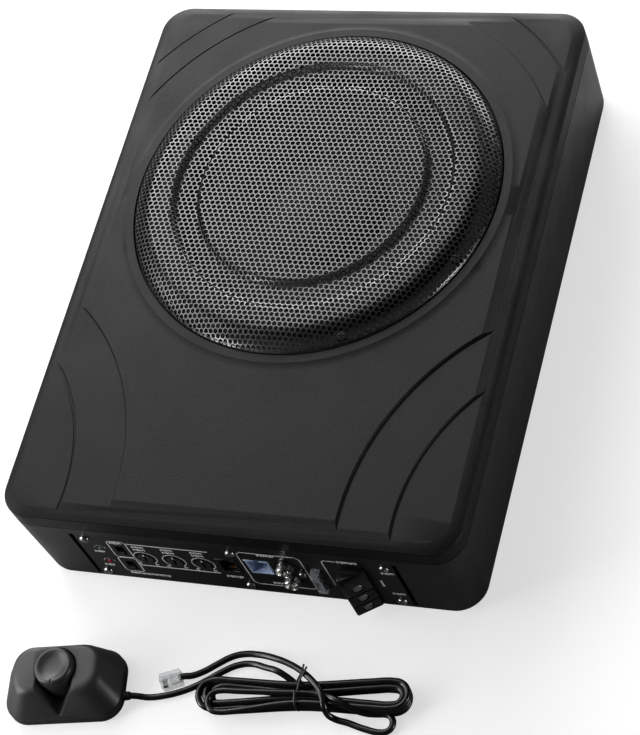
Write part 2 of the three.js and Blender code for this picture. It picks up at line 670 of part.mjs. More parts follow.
// The remote in its own frame: +X along its width, its front towards -Y.
function remoteControl() {
  const remote = new THREE.Group()
  remote.position.set(REMOTE_X, REMOTE_Y, 0)
  remote.rotation.z = (REMOTE_TURN * Math.PI) / 180
  subwoofer.add(remote)

  const knobY = 2.5
  const outside = stack([
    [0.6, 31, 18.4, 11],
    [2, 32, 19, 12],
    [7.5, 31.8, 18.8, 12],
    [21, 23.6, 13, 10, 2.6],
    [22.4, 21.6, 11.4, 9, 3],
  ])
  const inside = stack([
    [0, 29, 16, 10],
    [6, 28.6, 15.6, 10],
  ])
  const well = post(0, knobY, 8, 30, 11.6, 11.6, 2 * SMALL_ROUND)
  const shaftHole = post(0, knobY, 4, 10, 2.4, 2.4, TINY_ROUND)
  const notch = wedge(13, -22.5, knobY, 7.5, 26)
  const glandHole = new THREE.CylinderGeometry(2.8, 2.8, 12, TINY_ROUND).rotateZ(Math.PI / 2)
  const shell = cut(outside, inside, well, shaftHole, notch, solid(glandHole.translate(31, GLAND_Y, 4)))
  add('remote_housing', shell, BLACK_PLASTIC, remote)

  const floor = stack([
    [0, 28, 15, 9],
    [2, 28, 15, 9],
  ])
  add('remote_floor', floor, RUBBER, remote)

  const knobProfile = [
    [0, 2.6], [2, 2.6], [2, 8.4], [10.9, 8.4], [10.6, 24.6], [9.8, 25.9], [8.6, 26.2], [5.6, 25.1], [0, 24.4],
  ]
  add('remote_knob', turned(knobProfile, 2 * SMALL_ROUND, 0, knobY), BLACK_PLASTIC, remote)

  const gland = new THREE.CylinderGeometry(2, 2.4, 7.5, TINY_ROUND).rotateZ(-Math.PI / 2)
  add('remote_gland', solid(gland.translate(31.75, GLAND_Y, 4)), RUBBER, remote)
}

// ---------------------------------------------------------------- cord

// The lead runs from the remote's gland over the floor and up to the hank's far side.
const LEAD_ROUTE = [
  [-51.2, -230.6, 4],
  [-48.2, -230.2, 3.4],
  [-42.6, -229.6, 2],
  [-33.7, -227.4, 1.8],
  [-26.1, -224.4, 1.8],
  [-19.7, -220.9, 1.8],
  [-13.2, -216.2, 1.8],
  [-6.6, -210.9, 1.8],
  [0.6, -206.4, 1.8],
  [8, -204.8, 2.2],
  [17.2, -206.6, 4],
  [24.5, -208.4, 5.6],
  [29.6, -209.6, 6.6],
]
const TAIL_ROUTE = [
  [-26.4, -216.6, 3.5],
  [-21.6, -215.2, 2.8],
  [-16.3, -211.8, 2],
  [-10.1, -206.8, 1.8],
  [-3.8, -202.2, 1.8],
  [2.1, -199.9, 1.8],
  [10.7, -199.4, 2.4],
  [21.7, -201.4, 4.6],
  [31, -204.8, 8],
  [37.6, -208, 10.4],
]

function cord() {
  add('remote_lead', cordTube(LEAD_ROUTE), GLOSS_PLASTIC)
  add('plug_tail', cordTube(TAIL_ROUTE), GLOSS_PLASTIC)

  const hankFrame = new THREE.Group()
  hankFrame.position.set(HANK_X, HANK_Y, 0)
  hankFrame.rotation.z = (HANK_TURN * Math.PI) / 180
  subwoofer.add(hankFrame)
  const outline = roundRectangle(HANK_LENGTH / 2, HANK_WIDTH / 2, HANK_WIDTH / 2 - 0.5)
  add('cord_hank', prism(outline, HANK_BOTTOM, HANK_BOTTOM + HANK_HEIGHT), GLOSS_PLASTIC, hankFrame)

  const tieRoom = HANK_WIDTH / 2 + GAP
  const tieTop = HANK_BOTTOM + HANK_HEIGHT + GAP
  const band = cut(
    block(-1.2, 1.2, -tieRoom - 0.7, tieRoom + 0.7, HANK_BOTTOM - GAP - 0.7, tieTop + 0.7),
    block(-3, 3, -tieRoom, tieRoom, HANK_BOTTOM - GAP, tieTop),
  )
  const twist = block(-0.8, 0.8, 6, 7.6, tieTop + 0.2, tieTop + 8)
  add('cord_tie', join(band, twist), RUBBER, hankFrame)

  const plugFrame = new THREE.Group()
  plugFrame.position.set(PLUG_X, PLUG_Y, 0)
  plugFrame.rotation.z = (PLUG_TURN * Math.PI) / 180
  subwoofer.add(plugFrame)
  const plug = block(-5.5, 5.5, -3.85, 3.85, 0.3, 6.6)
  const latch = block(-4.8, 2.6, -1.4, 1.4, 6.5, 8.2)
  const latchGap = block(-1.6, 3.4, -1.8, 1.8, 6.6, 7.4)
  add('modular_plug', cut(join(plug, latch), latchGap), CLEAR, plugFrame)
}

// ---------------------------------------------------------------- build

enclosure()
grille()
driver()
panelParts()
amplifier()
remoteControl()
cord()

export default subwoofer
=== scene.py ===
"""A powered car subwoofer: the pieces and materials that show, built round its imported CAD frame.

Lengths are in millimetres until a mesh is made, where the MM factor turns them into metres.
The frame: +Z up out of the grille, +Y away from the control panel, the origin under the middle.
"""

import math

import bmesh
import bpy
from mathutils import Euler, Matrix, Vector


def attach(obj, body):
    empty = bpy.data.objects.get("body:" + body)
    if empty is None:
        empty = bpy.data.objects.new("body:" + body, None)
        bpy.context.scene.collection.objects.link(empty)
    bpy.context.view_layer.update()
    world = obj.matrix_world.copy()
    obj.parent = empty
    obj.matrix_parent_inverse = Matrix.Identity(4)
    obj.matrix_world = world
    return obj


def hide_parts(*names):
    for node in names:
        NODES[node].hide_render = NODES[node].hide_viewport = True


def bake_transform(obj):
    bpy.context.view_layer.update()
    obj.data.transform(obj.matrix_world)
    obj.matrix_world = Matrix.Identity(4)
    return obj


MM = 0.001
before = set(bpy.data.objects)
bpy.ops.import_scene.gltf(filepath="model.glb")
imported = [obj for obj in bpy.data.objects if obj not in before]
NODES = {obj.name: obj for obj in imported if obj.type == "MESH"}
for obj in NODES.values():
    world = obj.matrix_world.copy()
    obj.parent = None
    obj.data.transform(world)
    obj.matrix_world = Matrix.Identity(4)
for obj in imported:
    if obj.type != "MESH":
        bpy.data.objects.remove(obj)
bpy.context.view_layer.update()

# ---- sizes shared with the CAD part

HALF_WIDTH = 125
HALF_LENGTH = 165
CORNER_RADIUS = 16
BASE_BOTTOM = 1
BASE_TOP = 55.7
COVER_BOTTOM = 56.2
EDGE_Z = 66
CORNER_Z = 67.5
MIDDLE_Z = 68.4
PLATEAU_Z = 69.5
RING_Z = 71.1
CEILING_Z = 64.5
SPEAKER_Y = 40
PANEL_FACE = -164.8
PANEL_BACK = -162.4
KNOB_Z = 29.8
KNOB_XS = {"level_knob": -53.5, "crossover_knob": -37, "boost_knob": -20.5}
SWITCH_X = -65.2
SWITCH_ZS = {"phase_switch": 35.6, "turn_on_switch": 19.2}
LAMP_X = -77
LAMP_ZS = {"power_lamp": 36, "protect_lamp": 21.5}
JACK = (-6, 30.2)
INPUT = (12, 33)
PHONO_X = 27.5
PHONO_ZS = (38.2, 24.2)
PHONO_SCREW = (34.4, 29.4)
FUSE = (43.5, 27.5)
POWER = (65, 28.4)
CLAMP_ZS = (10, 20, 30)
REMOTE_PLACE = (-88, -230.5)
REMOTE_TURN = 10
HANK_PLACE = (41.6, -220)
HANK_TURN = 6.5
PLUG_PLACE = (-31.9, -219.2)
PLUG_TURN = 25
GLAND_Y = -6.5
REMOTE_KNOB_Y = 2.5

# ---- small helpers


def add_object(name, data):
    made = bpy.data.objects.new(name, data)
    bpy.context.collection.objects.link(made)
    return made


def shifted(x, y, z):
    """A move by millimetres."""
    return Matrix.Translation(Vector((x, y, z)) * MM)


def turned(degrees, axis):
    return Matrix.Rotation(math.radians(degrees), 4, axis)


def updated_graph():
    graph = bpy.context.evaluated_depsgraph_get()
    graph.update()
    return graph


def evaluated_mesh(piece):
    return bpy.data.meshes.new_from_object(piece.evaluated_get(updated_graph()))


# ---- camera and lights


def make_camera():
    data = bpy.data.cameras.new("camera")
    data.lens = 124.59
    data.sensor_fit = "AUTO"
    data.sensor_width = 36
    data.clip_start = 0.05
    camera = add_object("camera", data)
    camera.location = (0.51029, -0.66133, 1.11401)
    camera.rotation_euler = Euler([math.radians(a) for a in (32.5705, 16.6810, 14.7386)], "XYZ")
    bpy.context.scene.camera = camera


def area_light(name, place, aim, size, power, tint=(1, 1, 1)):
    data = bpy.data.lights.new(name, "AREA")
    data.shape = "RECTANGLE"
    data.size, data.size_y = size
    data.energy = power
    data.color = tint
    light = add_object(name, data)
    light.location = place
    light.rotation_euler = (Vector(aim) - Vector(place)).to_track_quat("-Z", "Y").to_euler()


def node(tree, kind, **values):
    """A shader node with constants on its own sockets."""
    made = tree.nodes.new("ShaderNode" + kind)
    for name, value in values.items():
        made.inputs[name.replace("_", " ")].default_value = value
    return made


def color_ramp(tree, start, low, end, high):
    """From one colour to another, between two positions."""
    ramp = tree.nodes.new("ShaderNodeValToRGB")
    for stop, position, color in zip(ramp.color_ramp.elements, (start, end), (low, high)):
        stop.position = position
        stop.color = (*color, 1)
    return ramp


def make_world():
    """White to the camera; to everything else dark, with one bright part high on the left."""
    world = bpy.data.worlds.new("studio")
    bpy.context.scene.world = world
    world.use_nodes = True
    tree = world.node_tree
    link = tree.links.new
    tree.nodes.clear()
    place = node(tree, "TexCoord")
    lean = tree.nodes.new("ShaderNodeVectorMath")
    lean.operation = "DOT_PRODUCT"
    lean.inputs[1].default_value = (-0.55, 0.45, 0.70)
    ramp = color_ramp(tree, 0.65, (0.03, 0.03, 0.032), 0.98, (1, 1, 1))
    sky = node(tree, "Background", Strength=0.4)
    shown = node(tree, "Background", Color=(1, 1, 1, 1))
    path = node(tree, "LightPath")
    mix = node(tree, "MixShader")
    link(place.outputs["Generated"], lean.inputs[0])
    link(lean.outputs["Value"], ramp.inputs["Fac"])
    link(ramp.outputs["Color"], sky.inputs["Color"])
    link(path.outputs["Is Camera Ray"], mix.inputs["Fac"])
    link(sky.outputs["Background"], mix.inputs[1])
    link(shown.outputs["Background"], mix.inputs[2])
    link(mix.outputs["Shader"], node(tree, "OutputWorld").inputs["Surface"])


def make_lights():
    make_world()
    area_light("back_key", (-0.75, 1.25, 1.0), (0, 0.08, 0.05), (1.4, 0.7), 22)
    area_light("back_low", (-0.2, 1.45, 0.36), (0, 0.1, 0.08), (1.8, 0.5), 21)
    area_light("left_soft", (-1.25, -0.25, 0.85), (0, 0, 0.05), (0.9, 1.1), 10)
    area_light("top_soft", (-0.9, 0.75, 1.55), (0, 0, 0), (0.85, 0.85), 6)
    area_light("front_left", (-0.5, -0.5, 0.24), (-0.12, -0.165, 0.04), (0.16, 0.3), 1.7)
    area_light("right_low", (0.95, -0.2, 0.1), (0.125, -0.1, 0.03), (0.3, 0.12), 2.2)


def make_floor():
    """White paper to the camera; in reflections it is dark in front of the panel and pale beside it."""
    bpy.ops.mesh.primitive_plane_add(size=8, location=(0, 0, 0))
    floor = bpy.context.object
    floor.name = "floor"
    material = bpy.data.materials.new("floor_white")
    material.use_nodes = True
    tree = material.node_tree
    link = tree.links.new
    paper = tree.nodes["Principled BSDF"]
    paper.inputs["Base Color"].default_value = (0.5, 0.5, 0.5, 1)
    paper.inputs["Roughness"].default_value = 0.9
    dim = node(tree, "BsdfDiffuse")
    split = node(tree, "SeparateXYZ")
    aside = tree.nodes.new("ShaderNodeMath")
    aside.operation = "ABSOLUTE"
    across = tree.nodes.new("ShaderNodeMath")
    across.operation = "MULTIPLY_ADD"
    across.inputs[1].default_value = 0.5
    spread = node(tree, "MapRange", From_Min=-0.08, From_Max=0.15)
    ramp = color_ramp(tree, 0, (0.06, 0.06, 0.06), 1, (0.6, 0.6, 0.6))
    glow = node(tree, "Emission", Strength=0.62)
    both = node(tree, "AddShader")
    mix = node(tree, "MixShader")
    link(node(tree, "TexCoord").outputs["Object"], split.inputs["Vector"])
    link(split.outputs["X"], aside.inputs[0])
    link(split.outputs["Y"], across.inputs[0])
    link(aside.outputs["Value"], across.inputs[2])
    link(across.outputs["Value"], spread.inputs["Value"])
    link(spread.outputs["Result"], ramp.inputs["Fac"])
    link(ramp.outputs["Color"], dim.inputs["Color"])
    link(paper.outputs["BSDF"], both.inputs[0])
    link(glow.outputs["Emission"], both.inputs[1])
    link(node(tree, "LightPath").outputs["Is Camera Ray"], mix.inputs["Fac"])
    link(dim.outputs["BSDF"], mix.inputs[1])
    link(both.outputs["Shader"], mix.inputs[2])
    link(mix.outputs["Shader"], tree.nodes["Material Output"].inputs["Surface"])
    floor.data.materials.append(material)


# ---- materials


def plain(name, color, roughness, metallic=0.0, specular=0.5):
    """A Principled material with constants on its own sockets."""
    material = bpy.data.materials.new(name)
    material.use_nodes = True
    shader = material.node_tree.nodes["Principled BSDF"]
    shader.inputs["Base Color"].default_value = (*color, 1)
    shader.inputs["Roughness"].default_value = roughness
    shader.inputs["Metallic"].default_value = metallic
    shader.inputs["Specular IOR Level"].default_value = specular
    return material


def object_noise(material, per_metre, detail=3.0):
    """A noise texture in the object's own space, at a real scale."""
    tree = material.node_tree
    noise = node(tree, "TexNoise", Scale=per_metre, Detail=detail, Roughness=0.55)
    tree.links.new(node(tree, "TexCoord").outputs["Object"], noise.inputs["Vector"])
    return noise


def vary_color(material, noise, low, high):
    tree = material.node_tree
    ramp = color_ramp(tree, 0.35, low, 0.68, high)
    tree.links.new(noise.outputs["Fac"], ramp.inputs["Fac"])
    tree.links.new(ramp.outputs["Color"], tree.nodes["Principled BSDF"].inputs["Base Color"])


def vary_roughness(material, noise, low, high):
    tree = material.node_tree
    spread = node(tree, "MapRange", From_Min=0.3, From_Max=0.7, To_Min=low, To_Max=high)
    tree.links.new(noise.outputs["Fac"], spread.inputs["Value"])
    tree.links.new(spread.outputs["Result"], tree.nodes["Principled BSDF"].inputs["Roughness"])


def add_bump(material, noise, depth_mm):
    tree = material.node_tree
    bump = node(tree, "Bump", Distance=depth_mm * MM, Strength=1.0)
    tree.links.new(noise.outputs["Fac"], bump.inputs["Height"])
    tree.links.new(bump.outputs["Normal"], tree.nodes["Principled BSDF"].inputs["Normal"])


def grained(name, color, roughness, grain_mm, depth_mm, spread, **more):
    """A surface with a fine grain: bump, slight colour change and slight roughness change."""
    material = plain(name, color, roughness, **more)
    grain = object_noise(material, 1 / (grain_mm * MM))
    low = [c * (1 - spread) for c in color]
    high = [c * (1 + spread) for c in color]
    vary_color(material, grain, low, high)
    clouds = object_noise(material, 40, 2.0)
    vary_roughness(material, clouds, max(roughness - 0.05, 0.04), roughness + 0.06)
    add_bump(material, grain, depth_mm)
    return material


# Each material: colour, roughness, grain size and depth in mm, spread of its colour, and the rest.
GRAINED = {
    "cover_paint": ((0.008, 0.0082, 0.0088), 0.4, 0.75, 0.10, 0.45, {"specular": 0.14}),
    "base_paint": ((0.010, 0.0102, 0.0108), 0.4, 0.4, 0.02, 0.15, {"specular": 0.4}),
    "black_metal": ((0.13, 0.13, 0.132), 0.3, 0.3, 0.01, 0.15, {"metallic": 0.85}),
    "black_plastic": ((0.009, 0.009, 0.0098), 0.42, 0.35, 0.02, 0.2, {"specular": 0.35}),
    "remote_plastic": ((0.038, 0.038, 0.04), 0.4, 0.3, 0.012, 0.2, {}),
    "gloss_plastic": ((0.008, 0.008, 0.009), 0.16, 0.8, 0.006, 0.1, {}),
    "cord_jacket": ((0.008, 0.008, 0.0085), 0.26, 0.6, 0.012, 0.1, {"specular": 0.6}),
    "tie_plastic": ((0.06, 0.06, 0.062), 0.36, 0.3, 0.01, 0.1, {}),
    "rubber": ((0.014, 0.014, 0.014), 0.78, 0.3, 0.02, 0.2, {}),
    "cone_paper": ((0.012, 0.012, 0.013), 0.7, 0.5, 0.08, 0.4, {}),
    "spider_cloth": ((0.36, 0.2, 0.06), 0.8, 0.5, 0.1, 0.3, {}),
    "coil_foil": ((0.35, 0.14, 0.05), 0.4, 0.4, 0.02, 0.2, {"metallic": 0.4}),
    "zinc": ((0.62, 0.62, 0.6), 0.26, 0.25, 0.008, 0.08, {"metallic": 1.0}),
    "ferrite": ((0.05, 0.05, 0.052), 0.62, 0.4, 0.04, 0.3, {}),
    "circuit_board": ((0.01, 0.07, 0.025), 0.35, 0.8, 0.02, 0.3, {}),
    "copper_wire": ((0.42, 0.14, 0.05), 0.3, 0.5, 0.05, 0.2, {"metallic": 0.9}),
    "nylon": ((0.42, 0.53, 0.74), 0.42, 0.6, 0.02, 0.1, {}),
    "green_lamp": ((0.10, 0.15, 0.12), 0.2, 0.6, 0.01, 0.1, {}),
    "red_lamp": ((0.32, 0.012, 0.04), 0.2, 0.6, 0.01, 0.1, {}),
    "legend": ((0.86, 0.87, 0.88), 0.5, 0.3, 0.005, 0.08, {}),
}


def make_materials():
    looks = {"clear": clear_plastic()}
    for name, (color, roughness, grain, depth, spread, rest) in GRAINED.items():
        looks[name] = grained(name, color, roughness, grain, depth, spread, **rest)
    return looks


def clear_plastic():
    material = plain("clear_plastic", (0.62, 0.65, 0.68), 0.12)
    shader = material.node_tree.nodes["Principled BSDF"]
    shader.inputs["Alpha"].default_value = 0.3
    shader.inputs["IOR"].default_value = 1.5
    noise = object_noise(material, 900)
    vary_roughness(material, noise, 0.08, 0.2)
    add_bump(material, noise, 0.02)
    return material


# ---- mesh making


def object_from(name, points, faces):
    """A new object from points in millimetres."""
    mesh = bpy.data.meshes.new(name)
    mesh.from_pydata([Vector(p) * MM for p in points], [], faces)
    mesh.validate()
    shape = bmesh.new()
    shape.from_mesh(mesh)
    bmesh.ops.recalc_face_normals(shape, faces=shape.faces)
    shape.to_mesh(mesh)
    shape.free()
    return add_object(name, mesh)


def bake_modifiers(piece):
    """The piece's modifiers become part of its mesh."""
    done = evaluated_mesh(piece)
    piece.modifiers.clear()
    piece.data = done
    return piece


def combine(piece, operation, *tools):
    """Cuts or joins other solids, which are used up."""
    for tool in tools:
        change = piece.modifiers.new("shape", "BOOLEAN")
        change.object = tool
        change.operation = operation
        change.solver = "EXACT"
    bake_modifiers(piece)
    for tool in tools:
        bpy.data.objects.remove(tool)
    return piece


def cut(piece, *tools):
    return combine(piece, "DIFFERENCE", *tools)


def join(piece, *tools):
    return combine(piece, "UNION", *tools)


def merge(name, pieces):
    """Several objects as one, without joining their solids."""
    shape = bmesh.new()
    for piece in pieces:
        copy = piece.data.copy()
        copy.transform(piece.matrix_world)
        shape.from_mesh(copy)
        bpy.data.meshes.remove(copy)
        bpy.data.objects.remove(piece)
    mesh = bpy.data.meshes.new(name)
    shape.to_mesh(mesh)
    shape.free()
    return add_object(name, mesh)


def round_edges(piece, width, segments=2, angle=30):
    """Bevels the sharp edges and shades the rest smooth."""
    bevel = piece.modifiers.new("edges", "BEVEL")
    bevel.width = width * MM
    bevel.segments = segments
    bevel.limit_method = "ANGLE"
    bevel.angle_limit = math.radians(angle)
    bevel.miter_outer = "MITER_ARC"
    bevel.use_clamp_overlap = True
    bake_modifiers(piece)
    return smooth(piece)


def smooth(piece, angle=32):
    piece.data.shade_smooth()
    piece.data.set_sharp_from_angle(angle=math.radians(angle))
    return piece


def turn_and_move(piece, place, degrees):
    """From a frame of its own, turned about the upright axis, into the row frame."""
    piece.data.transform(shifted(*place, 0) @ turned(degrees, "Z"))
    return piece


def finish_piece(piece, look, replaced=(), body="enclosure"):
    piece.data.materials.clear()
    piece.data.materials.append(looks[look])
    if replaced:
        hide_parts(*replaced)
    if body:
        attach(piece, body)
    return piece


def block(name, x0, x1, y0, y1, z0, z1):
    points = [(x, y, z) for z in (z0, z1) for y in (y0, y1) for x in (x0, x1)]
    faces = [(0, 1, 3, 2), (4, 5, 7, 6), (0, 1, 5, 4), (2, 3, 7, 6), (0, 2, 6, 4), (1, 3, 7, 5)]
    return object_from(name, points, faces)


def round_rectangle(half_x, half_y, radius, middle_y=0.0, steps=12):
    points = []
    for corner in range(4):
        sign_x = 1 if corner in (0, 3) else -1
        sign_y = 1 if corner < 2 else -1
        for step in range(steps + 1):
            angle = (corner + step / steps) * math.pi / 2
            x = sign_x * (half_x - radius) + radius * math.cos(angle)
            y = middle_y + sign_y * (half_y - radius) + radius * math.sin(angle)
            points.append((x, y))
    return points


def tube_faces(count, rings):
    """The sides and the two ends of a solid through rings of the same number of points."""
    faces = []
    for level in range(rings - 1):
        for i in range(count):
            a, b = level * count + i, level * count + (i + 1) % count
            faces.append((a, b, b + count, a + count))
    return faces + [tuple(range(count)), tuple(range((rings - 1) * count, rings * count))]


def stack(name, layers, steps=12):
    """A solid through rounded rectangles at rising heights: (z, half_x, half_y, radius, middle_y)."""
    points = []
    for layer in layers:
        z, half_x, half_y, radius = layer[:4]
        middle_y = layer[4] if len(layer) > 4 else 0.0
        points += [(x, y, z) for x, y in round_rectangle(half_x, half_y, radius, middle_y, steps)]
    count = 4 * (steps + 1)
    return object_from(name, points, tube_faces(count, len(layers)))


def lathe(name, profile, sides, x=0.0, y=SPEAKER_Y, closed=False):
    """A [radius, height] profile turned about the upright line through (x, y)."""
    points, rings = [], []
    for radius, height in profile:
        if radius <= 0:
            rings.append([len(points)] * sides)
            points.append((x, y, height))
        else:
            rings.append(list(range(len(points), len(points) + sides)))
            for i in range(sides):
                angle = 2 * math.pi * i / sides
                points.append((x + radius * math.cos(angle), y + radius * math.sin(angle), height))
    pairs = list(zip(rings, rings[1:])) + ([(rings[-1], rings[0])] if closed else [])
    faces = []
    for low, high in pairs:
        for i in range(sides):
            j = (i + 1) % sides
            corners = list(dict.fromkeys([low[i], low[j], high[j], high[i]]))
            if len(corners) > 2:
                faces.append(corners)
    return object_from(name, points, faces)


def post(name, x, y, z0, z1, low_radius, high_radius=None, sides=48):
    high = low_radius if high_radius is None else high_radius
    return lathe(name, [(0, z0), (low_radius, z0), (high, z1), (0, z1)], sides, x, y)


def turned_out(name, x, z, profile, sides=40):
    """A [radius, depth] profile turned about a line along Y; depth is Y."""
    made = lathe(name, profile, sides, 0, 0)
    made.data.transform(turned(90, "X"))
    made.data.transform(Matrix.Scale(-1, 4, (0, 1, 0)))
    made.data.transform(shifted(x, 0, z))
    made.data.flip_normals()
    return made


def rod(name, x, z, y0, y1, radius, sides=40):
    return turned_out(name, x, z, [(0, y0), (radius, y0), (radius, y1), (0, y1)], sides)


def panel_block(name, x, z, half_x, half_z, y0, y1):
    return block(name, x - half_x, x + half_x, y0, y1, z - half_z, z + half_z)


def rounded_line(line, cuts=2):
    """A line of [radius, height] points with its corners cut off, its ends kept."""
    for _ in range(cuts):
        finer = [line[0]]
        for (r0, z0), (r1, z1) in zip(line, line[1:]):
            finer.append((0.75 * r0 + 0.25 * r1, 0.75 * z0 + 0.25 * z1))
            finer.append((0.25 * r0 + 0.75 * r1, 0.25 * z0 + 0.75 * z1))
        finer.append(line[-1])
        line = finer
    return line


def sheet_profile(line, thickness):
    """A line of [radius, height] points from the rim inwards, and the same line moved down."""
    lower = []
    for i, (radius, height) in enumerate(line):
        before = line[max(i - 1, 0)]
        after = line[min(i + 1, len(line) - 1)]
        length = math.hypot(after[0] - before[0], after[1] - before[1])
        right = (after[1] - before[1]) / length
        down = (after[0] - before[0]) / length
        lower.append((0.0 if radius == 0 else radius - thickness * right, height + thickness * down))
    return list(line) + lower[::-1]


# ---- cord

CORD_DIAMETER = 3.4
LEAD_ROUTE = [
    (-51.2, -230.6, 4), (-48.2, -230.2, 3.4), (-42.6, -229.6, 2), (-33.7, -227.4, 1.8),
    (-26.1, -224.4, 1.8), (-19.7, -220.9, 1.8), (-13.2, -216.2, 1.8), (-6.6, -210.9, 1.8),
    (0.6, -206.4, 1.8), (8, -204.8, 2.2), (17.2, -206.6, 4), (24.5, -208.4, 5.6),
]
TAIL_ROUTE = [
    (-28.4, -217.5, 3.5), (-26.4, -216.6, 3.5), (-21.6, -215.2, 2.8), (-16.3, -211.8, 2),
    (-10.1, -206.8, 1.8), (-3.8, -202.2, 1.8), (2.1, -199.9, 1.8), (10.7, -199.4, 2.4),
    (21.7, -201.4, 4.6), (31, -204.8, 8), (37.6, -208, 10.4),
]


def hank_point(x, y, z):
    """From the hank's own frame into the row frame."""
    turn = math.radians(HANK_TURN)
    row_x = HANK_PLACE[0] + x * math.cos(turn) - y * math.sin(turn)
    row_y = HANK_PLACE[1] + x * math.sin(turn) + y * math.cos(turn)
    return (row_x, row_y, z)


OUTER = (1.9, 5.1, 8.3)
INNER = (3.5, 6.7)
# Each fold of the hank, in order: its middle across, half its width, how far out it reaches,
# the height it starts at and the height it ends at.
FOLDS = [
    (0.0, 7.2, 54.6, OUTER[0], OUTER[0]),
    (-1.3, 5.9, -52.0, OUTER[0], INNER[0]),
    (0.0, 4.6, 52.0, INNER[0], INNER[0]),
    (0.0, 4.6, -48.6, INNER[0], INNER[1]),
    (0.0, 4.6, 52.4, INNER[1], INNER[1]),
    (1.3, 5.9, -52.4, INNER[1], OUTER[1]),
    (0.0, 7.2, 55.0, OUTER[1], OUTER[1]),
    (0.0, 7.2, -55.6, OUTER[1], OUTER[2]),
    (0.0, 7.2, 55.2, OUTER[2], OUTER[2]),
    (-4.8, 5.4, -49.0, 8.2, 9.8),
    (-12.8, 4.8, 47.6, 2.2, 1.9),
]
# Where each run passes the tie, from the first run to the last: (y, height).
SLOTS = [
    (4.8, OUTER[0]), (-4.8, OUTER[0]), (1.65, INNER[0]), (-1.65, INNER[0]), (1.65, INNER[1]),
    (-1.65, INNER[1]), (4.8, OUTER[1]), (-4.8, OUTER[1]), (4.8, OUTER[2]), (-4.8, OUTER[2]), (0.0, 9.5),
]
LEAD_ENTRY = [(-9.4, 10.2, 3.6), (-4.4, 6.8, 2.0)]
# The last run lies on the others and goes down beside them; then the cord goes round the middle.
OVER_THE_SIDE = [
    (10.0, -0.8, 9.2), (20.0, -4.6, 11.4), (27.0, -7.8, 9.0), (33.5, -8.6, 4.6), (39.0, -8.2, 2.6),
]
WRAP = [
    (32.0, -15.4, 1.8), (24.0, -12.6, 1.8), (17.5, -11.2, 3.0), (14.6, -10.2, 6.4), (13.6, -8.0, 10.4),
    (12.4, -3.6, 12.0), (9.8, 1.2, 12.0), (6.0, 5.4, 12.0), (1.6, 9.2, 11.6),
]


def fold_points(fold, start_high):
    """A half turn at one end of the hank, from one side to the other."""
    middle, half, reach, start_z, end_z = fold
    way = 1 if reach > 0 else -1
    centre = reach - way * half
    points = []
    for step in range(7):
        share = step / 6
        angle = math.pi * (0.5 - share)
        side = math.sin(angle) if start_high else -math.sin(angle)
        height = start_z + (end_z - start_z) * share
        points.append((centre + way * half * math.cos(angle), middle + half * side, height))
    return points


def run(start, end):
    """Three points along a straight run, which eases from one height and side to the other."""
    points = []
    for share in (0.25, 0.5, 0.75):
        eased = share * share * (3 - 2 * share)
        points.append([a + (b - a) * part for a, b, part in zip(start, end, (share, eased, eased))])
    return points


def hank_route():
    """Run by run and fold by fold, from the lead's side of the tie to the wrap round the middle."""
    points = LEAD_ENTRY + [(0, *SLOTS[0])]
    for i, fold in enumerate(FOLDS):
        turn = fold_points(fold, i % 2 == 0)
        last = i + 1 == len(FOLDS)
        points += OVER_THE_SIDE if last else run(points[-1], turn[0])
        points += turn
        if not last:
            middle = (0, *SLOTS[i + 1])
            points += run(turn[-1], middle) + [middle]
    return points + WRAP


def round_curve(name, radius, resolution):
    data = bpy.data.curves.new(name, "CURVE")
    data.dimensions = "3D"
    data.bevel_depth = radius * MM
    data.bevel_resolution = resolution
    data.use_fill_caps = True
    return data


def make_cord():
    route = LEAD_ROUTE + [hank_point(*p) for p in hank_route()] + TAIL_ROUTE[::-1]
    data = round_curve("remote_cord", CORD_DIAMETER / 2, 3)
    data.resolution_u = 5
    spline = data.splines.new("BEZIER")
    spline.bezier_points.add(len(route) - 1)
    for point, place in zip(spline.bezier_points, route):
        point.co = Vector(place) * MM
        point.handle_left_type = "AUTO"
        point.handle_right_type = "AUTO"
    cord = add_object("remote_cord", data)
    data.materials.append(looks["cord_jacket"])
    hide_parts("remote_lead", "cord_hank", "plug_tail")
    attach(cord, "enclosure")
    updated_graph()
    return cord, spline.calc_length()


def make_tie():
    """A twist tie: one turn of wire round the hank's middle, its two ends bent up."""
    loop = []
    for i in range(33):
        angle = math.pi * (0.5 + i / 16)
        y = 7.2 * math.copysign(abs(math.cos(angle)) ** 0.6, math.cos(angle))
        z = 6.3 + 5.7 * math.copysign(abs(math.sin(angle)) ** 0.6, math.sin(angle))
        loop.append((-2.4 + i / 24, y, z))
    stub = [(-0.8, 4.4, 12.4), (0.2, 7.4, 12.8), (2.2, 9.4, 14.8), (4.0, 10.4, 17.4)]
    other = [(-2.2, 4.2, 12.2), (-0.8, 7.6, 12.8), (1.0, 9.9, 14.4), (1.8, 12.6, 16.2)]
    pieces = []
    for name, line in (("tie_loop", loop + stub), ("tie_end", other)):
        data = round_curve(name, 0.5, 2)
        spline = data.splines.new("NURBS")
        spline.points.add(len(line) - 1)
        for point, place in zip(spline.points, line):
            point.co = (*(Vector(hank_point(*place)) * MM), 1)
        spline.use_endpoint_u = True
        spline.order_u = 3
        curve = add_object(name, data)
        mesh = evaluated_mesh(curve)
        bpy.data.objects.remove(curve)
        pieces.append(add_object(name, mesh))
    tie = smooth(merge("twist_tie", pieces))
    return finish_piece(tie, "tie_plastic", ["cord_tie"])


